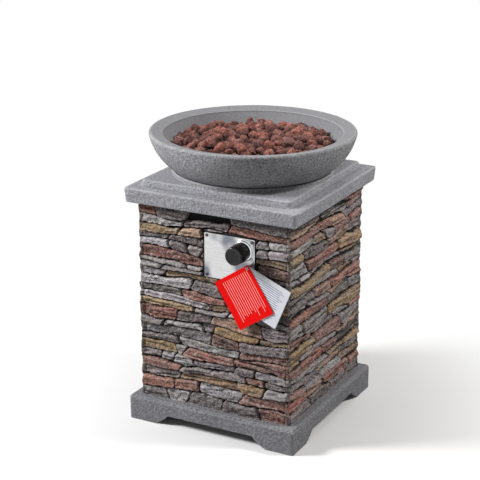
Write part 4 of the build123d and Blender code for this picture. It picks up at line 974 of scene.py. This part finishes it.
def grown(piece, tree, values):
    """Runs a tree on a piece, with inputs by their names, and makes the result a plain mesh."""
    modifier = piece.modifiers.new(tree.name, "NODES")
    modifier.node_group = tree
    for item in tree.interface.items_tree:
        if item.in_out == "INPUT" and item.name in values:
            modifier[item.identifier] = values[item.name]
    return applied(piece)


# Lava rock bed

ROCK_SHAPES = 5
BED_RINGS = 8
BED_SIDES = 48


def make_rock_tree():
    """Rocks of a few shapes strewn over a bed, each with its own turn, size and tone."""
    tree, given = new_group("GeometryNodeTree", "strewn_rocks", {
        "Bed": "NodeSocketGeometry", "Spacing": 18 * MM, "Rock Size": 13 * MM, "Roughness": 0.5,
        "Darkest Tone": 0.0, "Palest Tone": 1.0, "Seed": 4, "Rock Finish": "NodeSocketMaterial"},
        {"Rocks": "NodeSocketGeometry"})
    seed = given["Seed"]
    points = add(tree, "GeometryNodeDistributePointsOnFaces", {
        "Mesh": given["Bed"], "Distance Min": given["Spacing"], "Density Max": 9000.0, "Seed": seed},
        distribute_method="POISSON")["Points"]
    shapes = tree.nodes.new("GeometryNodeJoinGeometry")
    for variety in range(ROCK_SHAPES):
        ball = add(tree, "GeometryNodeMeshIcoSphere", {"Radius": 1.0, "Subdivisions": 2})["Mesh"]
        spot = add(tree, "GeometryNodeInputPosition")[0]
        lumps = add(tree, "ShaderNodeTexNoise", {
            "Vector": spot, "W": 3.7 * variety, "Scale": 0.9, "Detail": 3.0, "Roughness": 0.7},
            noise_dimensions="4D")["Color"]
        centred = add(tree, "ShaderNodeVectorMath", {0: lumps, 1: (0.5, 0.5, 0.5)}, operation="SUBTRACT")[0]
        push = scaled(tree, centred, reckon(tree, "MULTIPLY", given["Roughness"], 3.2))
        rough = add(tree, "GeometryNodeSetPosition", {"Geometry": ball, "Offset": push})[0]
        fill(tree, shapes.inputs, {0: add(tree, "GeometryNodeGeometryToInstance", {0: rough})[0]})
    size = random_vector(tree, (0.7, 0.6, 0.5), (1.35, 1.2, 1.05), seed)
    rocks = add(tree, "GeometryNodeInstanceOnPoints", {
        "Points": points, "Instance": shapes.outputs[0], "Pick Instance": True,
        "Rotation": random_vector(tree, (0, 0, 0), (6.28, 6.28, 6.28), seed),
        "Scale": scaled(tree, size, given["Rock Size"])})[0]
    toned = add(tree, "GeometryNodeStoreNamedAttribute", {
        "Geometry": rocks, "Name": "tone",
        "Value": random_value(tree, given["Darkest Tone"], given["Palest Tone"], seed)},
        data_type="FLOAT", domain="INSTANCE")[0]
    give_out(tree, toned, given["Rock Finish"])
    return tree


def make_bed(level, crown, reach):
    """A round bed with a raised middle, in rings of points, from sizes in millimetres."""
    mesh = bpy.data.meshes.new("rock_bed")
    turns = np.linspace(0, 2 * pi, BED_SIDES + 1)[:-1]
    with edited(mesh) as shell:
        rings = [[shell.verts.new((0, 0, (level + crown) * MM))]]
        for share in np.arange(1, BED_RINGS + 1) / BED_RINGS:
            radius, height = reach * share * MM, (level + crown * (1 - share ** 2)) * MM
            rings.append([shell.verts.new((radius * cos(a), radius * sin(a), height)) for a in turns])
        for inner, outer in zip(rings, rings[1:]):
            for i in range(BED_SIDES):
                inside = [inner[0]] if len(inner) == 1 else [inner[i], inner[i - 1]]
                shell.faces.new([inside[-1], outer[i - 1], outer[i], *inside[:-1]])
    return mesh


def make_lava_rocks():
    """Three layers of rocks, the lower ones darker and all darker the deeper they lie: painted shade."""
    tree = make_rock_tree()
    # Level, crown and reach of the bed, spacing and size of the rocks, seed, darkest and palest tone
    # The lower layers take darker tones: painted shade.
    layers = [
        (645, 12, 174, 22, 16.5, 4, 0.28, 1.0),
        (634, 10, 172, 17, 15.0, 9, 0.15, 0.6),
        (622, 7, 166, 17, 14.5, 15, 0.0, 0.1),
    ]
    mesh = bpy.data.meshes.new("lava_bed")
    with edited(mesh) as joined:
        for level, crown, reach, spacing, size, seed, darkest, palest in layers:
            layer = grown(new_object("rock_layer", make_bed(level, crown, reach)), tree, {
                "Spacing": spacing * MM, "Rock Size": size * MM, "Roughness": 0.6, "Seed": seed,
                "Darkest Tone": darkest, "Palest Tone": palest, "Rock Finish": finishes["lava_rock"]})
            joined.from_mesh(layer.data)
            bpy.data.objects.remove(layer)
    level, crown, reach = layers[0][:3]
    x, y, z = points_of(mesh).T / MM
    above = z - level - crown * (1 - (x ** 2 + y ** 2) / reach ** 2)
    # How far below the top bed each point lies, for painted shade between the rocks.
    store(mesh, "sunk", "FLOAT", 1 - eased(above, 0, 16))
    dress(new_object("lava_bed", mesh), "lava_rocks", "lava_rock", 24)


make_lava_rocks()


# Screws

SLOT_SHARE = 0.26
SLOT_REACH = 1.15


def make_screw_tree():
    """A round-headed screw with a cross slot at each point, turned to face the way that the point gives."""
    tree, given = new_group("GeometryNodeTree", "cross_slot_screws", {
        "Seats": "NodeSocketGeometry", "Head Radius": 4.0 * MM, "Head Height": 2.4 * MM,
        "Shank Radius": 2.0 * MM, "Shank Length": 9.0 * MM, "Slot Width": 1.0 * MM,
        "Screw Finish": "NodeSocketMaterial"}, {"Screws": "NodeSocketGeometry"})
    radius, height = given["Head Radius"], given["Head Height"]
    ball = add(tree, "GeometryNodeMeshUVSphere", {"Segments": 28, "Rings": 16, "Radius": 1.0})["Mesh"]
    spot = add(tree, "ShaderNodeSeparateXYZ", {0: add(tree, "GeometryNodeInputPosition")[0]})
    flat_base = vector(tree, X=spot["X"], Y=spot["Y"], Z=reckon(tree, "MAXIMUM", spot["Z"], 0.0))
    dome = add(tree, "GeometryNodeSetPosition", {"Geometry": ball, "Position": flat_base})[0]
    head_size = vector(tree, X=radius, Y=radius, Z=height)
    head = add(tree, "GeometryNodeTransform", {"Geometry": dome, "Scale": head_size})[0]
    slot_length = reckon(tree, "MULTIPLY", radius, SLOT_REACH)
    cutters = tree.nodes.new("GeometryNodeJoinGeometry")
    for long_side, short_side in ("XY", "YX"):
        size = vector(tree, **{long_side: slot_length, short_side: given["Slot Width"], "Z": height})
        fill(tree, cutters.inputs, {0: add(tree, "GeometryNodeMeshCube", {"Size": size})["Mesh"]})
    raised = {"Geometry": cutters.outputs[0], "Translation": vector(tree, Z=height)}
    cross = add(tree, "GeometryNodeTransform", raised)[0]
    slotted = add(tree, "GeometryNodeMeshBoolean", {"Mesh 1": head, "Mesh 2": cross},
                  operation="DIFFERENCE")["Mesh"]
    shank = add(tree, "GeometryNodeMeshCylinder", {
        "Vertices": 20, "Radius": given["Shank Radius"], "Depth": given["Shank Length"]})["Mesh"]
    below = vector(tree, Z=reckon(tree, "MULTIPLY", given["Shank Length"], -0.5))
    sunk = add(tree, "GeometryNodeTransform", {"Geometry": shank, "Translation": below})[0]
    whole = tree.nodes.new("GeometryNodeJoinGeometry")
    for part in (slotted, sunk):
        fill(tree, whole.inputs, {0: part})
    facing = add(tree, "GeometryNodeInputNamedAttribute", {"Name": "facing"}, data_type="FLOAT_VECTOR")
    aligned = add(tree, "FunctionNodeAlignRotationToVector", {"Vector": facing["Attribute"]}, axis="Z")[0]
    spin = random_value(tree, 0.0, 3.1, 2)
    own_turn = add(tree, "FunctionNodeAxisAngleToRotation", {"Axis": (0, 0, 1), "Angle": spin})[0]
    turned = add(tree, "FunctionNodeRotateRotation", {0: aligned, 1: own_turn}, rotation_space="LOCAL")[0]
    screws = add(tree, "GeometryNodeInstanceOnPoints", {
        "Points": given["Seats"], "Instance": whole.outputs[0], "Rotation": turned})[0]
    give_out(tree, screws, given["Screw Finish"])
    return tree


def islands(shell):
    """The points of each separate solid of a mesh."""
    left = set(shell.verts)
    while left:
        island = {left.pop()}
        front = list(island)
        while front:
            near = {edge.other_vert(vert) for vert in front for edge in vert.link_edges} - island
            island |= near
            front = list(near)
        left -= island
        yield np.array([vert.co for vert in island])


def screw_seats(node):
    """The seat under each screw head of a CAD node, the way it faces, and its height, shank and radius."""
    seats = []
    with edited(merged_copy(node)) as shell:
        for points in islands(shell):
            low, high = points.min(0), points.max(0)
            along = int(np.argmax(high - low))
            seat = (low + high) / 2
            reach = np.abs(np.delete(points - seat, along, axis=1)).max(axis=1)
            head = points[reach > 0.75 * reach.max()][:, along]
            upward = head.mean() > seat[along]
            facing = np.zeros(3)
            facing[along] = 1.0 if upward else -1.0
            seat[along] = head.min() if upward else head.max()
            top, tip = (high[along], low[along]) if upward else (low[along], high[along])
            seats.append((seat, facing, abs(top - seat[along]), abs(seat[along] - tip), reach.max()))
    return sorted(seats, key=lambda row: tuple(np.round(row[0], 5)))


def make_screws(name, node, shank_radius, finish):
    seats = screw_seats(node)
    mesh = bpy.data.meshes.new(name)
    mesh.from_pydata([seat.tolist() for seat, *_ in seats], [], [])
    store(mesh, "facing", "FLOAT_VECTOR", np.array([way for _, way, *_ in seats]))
    _, _, head_height, shank_length, head_radius = seats[0]
    piece = grown(new_object(name, mesh), screw_tree, {
        "Head Radius": head_radius, "Head Height": head_height, "Slot Width": SLOT_SHARE * head_radius,
        "Shank Radius": shank_radius * MM, "Shank Length": shank_length, "Screw Finish": finishes[finish]})
    dress(piece, node, finish, 40)


screw_tree = make_screw_tree()
make_screws("plate_fixings", "plate_screws", 2.0, "dull_screw")
for fixings, screws, shank in (
        ("wall_fixings", "panel_screws", 2.0), ("base_fixings", "base_screws", 2.0),
        ("cap_fixings", "cap_screws", 2.0), ("valve_fixings", "valve_screws", 1.6),
        ("valve_cap_fixings", "valve_cap_screws", 1.6), ("bracket_fixing", "bracket_screw", 1.6)):
    make_screws(fixings, screws, shank, slot_of[screws])


# Gas control

KNOB_CENTRE = (knob_x * MM, 0, knob_z * MM)
GRIP_RIBS = 36
GRIP_DEPTH = 0.012


def make_knob():
    """Tapered push-and-turn knob with a dished face, a rounded rim and a fine grip."""
    low, high = (Vector(corner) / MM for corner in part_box("control_knob"))
    front, rear, radius = low.y, high.y, (high.x - low.x) / 2
    skirt, bore_end, neck, bore = front + 34, front + 14, 8, 4.1
    face = [(0, 1.2), (12, 1.15), (15, 0.9), (16.2, 0.3), (17, 0), (18.2, 0), (19.2, 0.35), (20, 1.1)]
    grip = [(20.5, 2.4), (20.7, 6)]
    outline = [(reach, front + depth) for reach, depth in face + grip]
    outline += [(radius, skirt - 1.2), (radius - 0.3, skirt - 0.3), (radius - 1.2, skirt)]
    outline += [(neck, skirt), (neck, rear), (bore, rear), (bore, bore_end), (0, bore_end)]
    knob = lathe("gas_knob", KNOB_CENTRE, (0, 1, 0), outline, 144)
    for vert in knob.data.vertices:
        spread = Vector((vert.co.x - knob_x * MM, vert.co.z - knob_z * MM))
        if spread.length > 20.6 * MM and front + 3 < vert.co.y / MM < skirt - 0.5:
            turn = np.arctan2(spread.y, spread.x)
            spread *= 1 - GRIP_DEPTH * (0.5 + 0.5 * cos(GRIP_RIBS * turn))
            vert.co.x = knob_x * MM + spread.x
            vert.co.z = knob_z * MM + spread.y
    dress(knob, "control_knob", "black_plastic", 40)


def make_bezel():
    """Polished cup round the knob's neck, with a bead where it meets the plate."""
    base, front = bezel_high.y, bezel_low.y
    radius, opening, wall, edge = (bezel_high.x - bezel_low.x) / 2, 10.5, 2, 4
    outline = [(opening, front + 0.6), (opening + 0.5, front + 0.1), (opening + 1.1, front)]
    turns = np.linspace(0.05, pi / 2, 10)
    outline += [(radius - edge + edge * sin(turn), front + edge - edge * cos(turn)) for turn in turns]
    bead = ((0, 1.6), (0.5, 1.2), (0.6, 0.6), (0.4, 0), (-wall, 0))
    outline += [(radius + out, base - up) for out, up in bead]
    outline += [(radius - wall, front + edge), (opening, front + edge), (opening, front + 0.6)]
    dress(lathe("knob_cup", KNOB_CENTRE, (0, 1, 0), outline, 96), "knob_bezel", "chrome", 40)


make_knob()
make_bezel()


# Hang tags

CARD_CUTS = 22
CARD_REACH = 0.15


def make_card_piece(name, node, joint, bend):
    """A card over its CAD solid, bowed more the further from its hole, with its own map for the rows."""
    pin = next(Vector(row["pos_m"]) for row in record["behaviour"]["joints"] if row["name"] == joint)
    mesh = merged_copy(node)
    with edited(mesh) as shell:
        flattened(shell)
        longest = max(shell.edges, key=lambda edge: edge.calc_length())
        length_way = (longest.verts[0].co - longest.verts[1].co).normalized()
        length_way *= 1 if length_way.x > 0 else -1
        width_way = length_way.cross(Vector((0, 1, 0))) * -1
        width_way *= 1 if width_way.z < 0 else -1
        spans = []
        for way in (length_way, width_way):
            places = [vert.co.dot(way) for vert in shell.verts]
            spans.append((way, min(places), max(places)))
            for place in np.linspace(min(places), max(places), CARD_CUTS)[1:-1]:
                everything = list(shell.verts) + list(shell.edges) + list(shell.faces)
                bmesh.ops.bisect_plane(shell, geom=everything, plane_co=way * place, plane_no=way)
        card_map = shell.loops.layers.uv.new("card")
        for face in shell.faces:
            for loop in face.loops:
                spot = loop.vert.co
                loop[card_map].uv = [(spot.dot(way) - start) / (end - start) for way, start, end in spans]
        for vert in shell.verts:
            reach = Vector((vert.co.x - pin.x, vert.co.z - pin.z)).length
            vert.co.y -= bend * (reach / CARD_REACH) ** 2
    dress(new_object(name, mesh), node, slot_of[node], 40)


make_card_piece("red_card", "red_hang_tag", "red_tag_swing", 6 * MM)
make_card_piece("white_card", "white_hang_tag", "white_tag_swing", 4 * MM)


# Other hardware, each over its CAD solid

def make_hardware(node, bevel):
    """A CAD solid with joined triangles, smooth curves and lightly broken edges."""
    piece = new_object("made_" + node, merged_copy(node))
    with edited(piece.data) as shell:
        flattened(shell)
    if bevel:
        edge = piece.modifiers.new("broken_edges", "BEVEL")
        edge.width = bevel * MM
        edge.segments = 2
        edge.limit_method = "ANGLE"
        edge.angle_limit = radians(40)
        applied(piece)
    dress(piece, node, slot_of[node], 35)


handmade = {name for piece in bpy.context.scene.objects for name in piece.get("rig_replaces", [])}
edge_breaks = {"control_plate": 0.25, "valve_body": 0.5, "valve_rear_cap": 0.5, "inlet_elbow": 0.4,
               "burner_locknut": 0.6, "gas_orifice": 0.3, "tube_nuts": 0.5}
for hardware in sorted(slot_of):
    if hardware not in handmade:
        make_hardware(hardware, edge_breaks.get(hardware, 0))

spring = bpy.data.objects["made_return_spring"]
spring_low, spring_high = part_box("return_spring")
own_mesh(spring)


# Stage, light and camera

FLOOR_REACH = 9.0
FLOOR_SEEN = (0.93, 0.93, 0.93, 1)
FLOOR_GLOW = (0.4, 0.4, 0.4, 1)
WHITE = (1, 1, 1, 1)
SKY_STRENGTH = 0.17


def looked_at(tree):
    """1 for what the camera, a reflection or glass looks at, and 0 for light on the object."""
    path = add(tree, "ShaderNodeLightPath")
    seen = reckon(tree, "MAXIMUM", path["Is Camera Ray"], path["Is Glossy Ray"])
    return reckon(tree, "MAXIMUM", seen, path["Is Transmission Ray"])


def make_floor():
    """Pale floor that keeps the object's shadow and turns white further away."""
    mesh = bpy.data.meshes.new("floor")
    corners = [(-1, -1), (1, -1), (1, 1), (-1, 1)]
    mesh.from_pydata([(x * FLOOR_REACH, y * FLOOR_REACH, 0) for x, y in corners], [], [(0, 1, 2, 3)])
    material, tree, shader = start_material("pale_floor")
    where = add(tree, "ShaderNodeTexCoord")["Object"]
    away = add(tree, "ShaderNodeVectorMath", {0: where}, operation="LENGTH")["Value"]
    far = add(tree, "ShaderNodeMapRange", {
        "Value": away, "From Min": 0.35, "From Max": 0.85}, interpolation_type="SMOOTHSTEP")[0]
    looked = looked_at(tree)
    colour = mixed(tree, looked, FLOOR_GLOW, FLOOR_SEEN)
    fill(tree, shader.inputs, {"Base Color": colour, "Roughness": 0.9, "Specular IOR Level": 0.1})
    white = add(tree, "ShaderNodeEmission", {"Color": WHITE, "Strength": 1.0})[0]
    share = reckon(tree, "MULTIPLY", looked, far)
    either = add(tree, "ShaderNodeMixShader", {0: share, 1: shader.outputs[0], 2: white})[0]
    fill(tree, tree.nodes["Material Output"].inputs, {"Surface": either})
    mesh.materials.append(material)
    new_object("floor", mesh)


def make_world():
    """Even sky for the object; white where the camera, a reflection or glass looks into the distance."""
    world = bpy.data.worlds.new("studio")
    bpy.context.scene.world = world
    world.use_nodes = True
    tree = world.node_tree
    tree.nodes.clear()
    sky, white = (add(tree, "ShaderNodeBackground", {"Color": WHITE, "Strength": strength})[0]
                  for strength in (SKY_STRENGTH, 1.0))
    either = add(tree, "ShaderNodeMixShader", {0: looked_at(tree), 1: sky, 2: white})[0]
    add(tree, "ShaderNodeOutputWorld", {0: either})


def aimed(name, data, place, way):
    """A lamp or camera at a place, looking along a way."""
    holder = new_object(name, data)
    holder.location = place
    holder.rotation_euler = way.to_track_quat("-Z", "Y").to_euler()
    return holder


def make_lamp(name, place, target, size, power, colour=(1, 1, 1)):
    lamp = bpy.data.lights.new(name, "AREA")
    lamp.shape = "DISK"
    lamp.size = size
    lamp.energy = power
    lamp.color = colour
    aimed(name, lamp, place, Vector(target) - Vector(place))


def make_camera():
    azimuth, elevation, distance = radians(28.09), radians(18.68), 3.404
    target = Vector((-0.0337, 0, 0.4077))
    back = Vector((sin(azimuth) * cos(elevation), -cos(azimuth) * cos(elevation), sin(elevation)))
    lens = bpy.data.cameras.new("camera")
    lens.lens = 108.88
    lens.sensor_width = 36.0
    bpy.context.scene.camera = aimed("camera", lens, target + back * distance, -back)


make_floor()
make_world()
make_lamp("key", (-2.4, -1.65, 2.25), (0, 0, 0.45), 1.0, 146)
make_lamp("fill", (2.3, 0.8, 2.7), (0, 0, 0.4), 0.6, 67, (1.0, 0.98, 0.95))
make_lamp("top", (0.1, 0.4, 3.2), (0, 0, 0.5), 1.6, 14)
make_camera()
bpy.context.scene.view_settings.view_transform = "Standard"
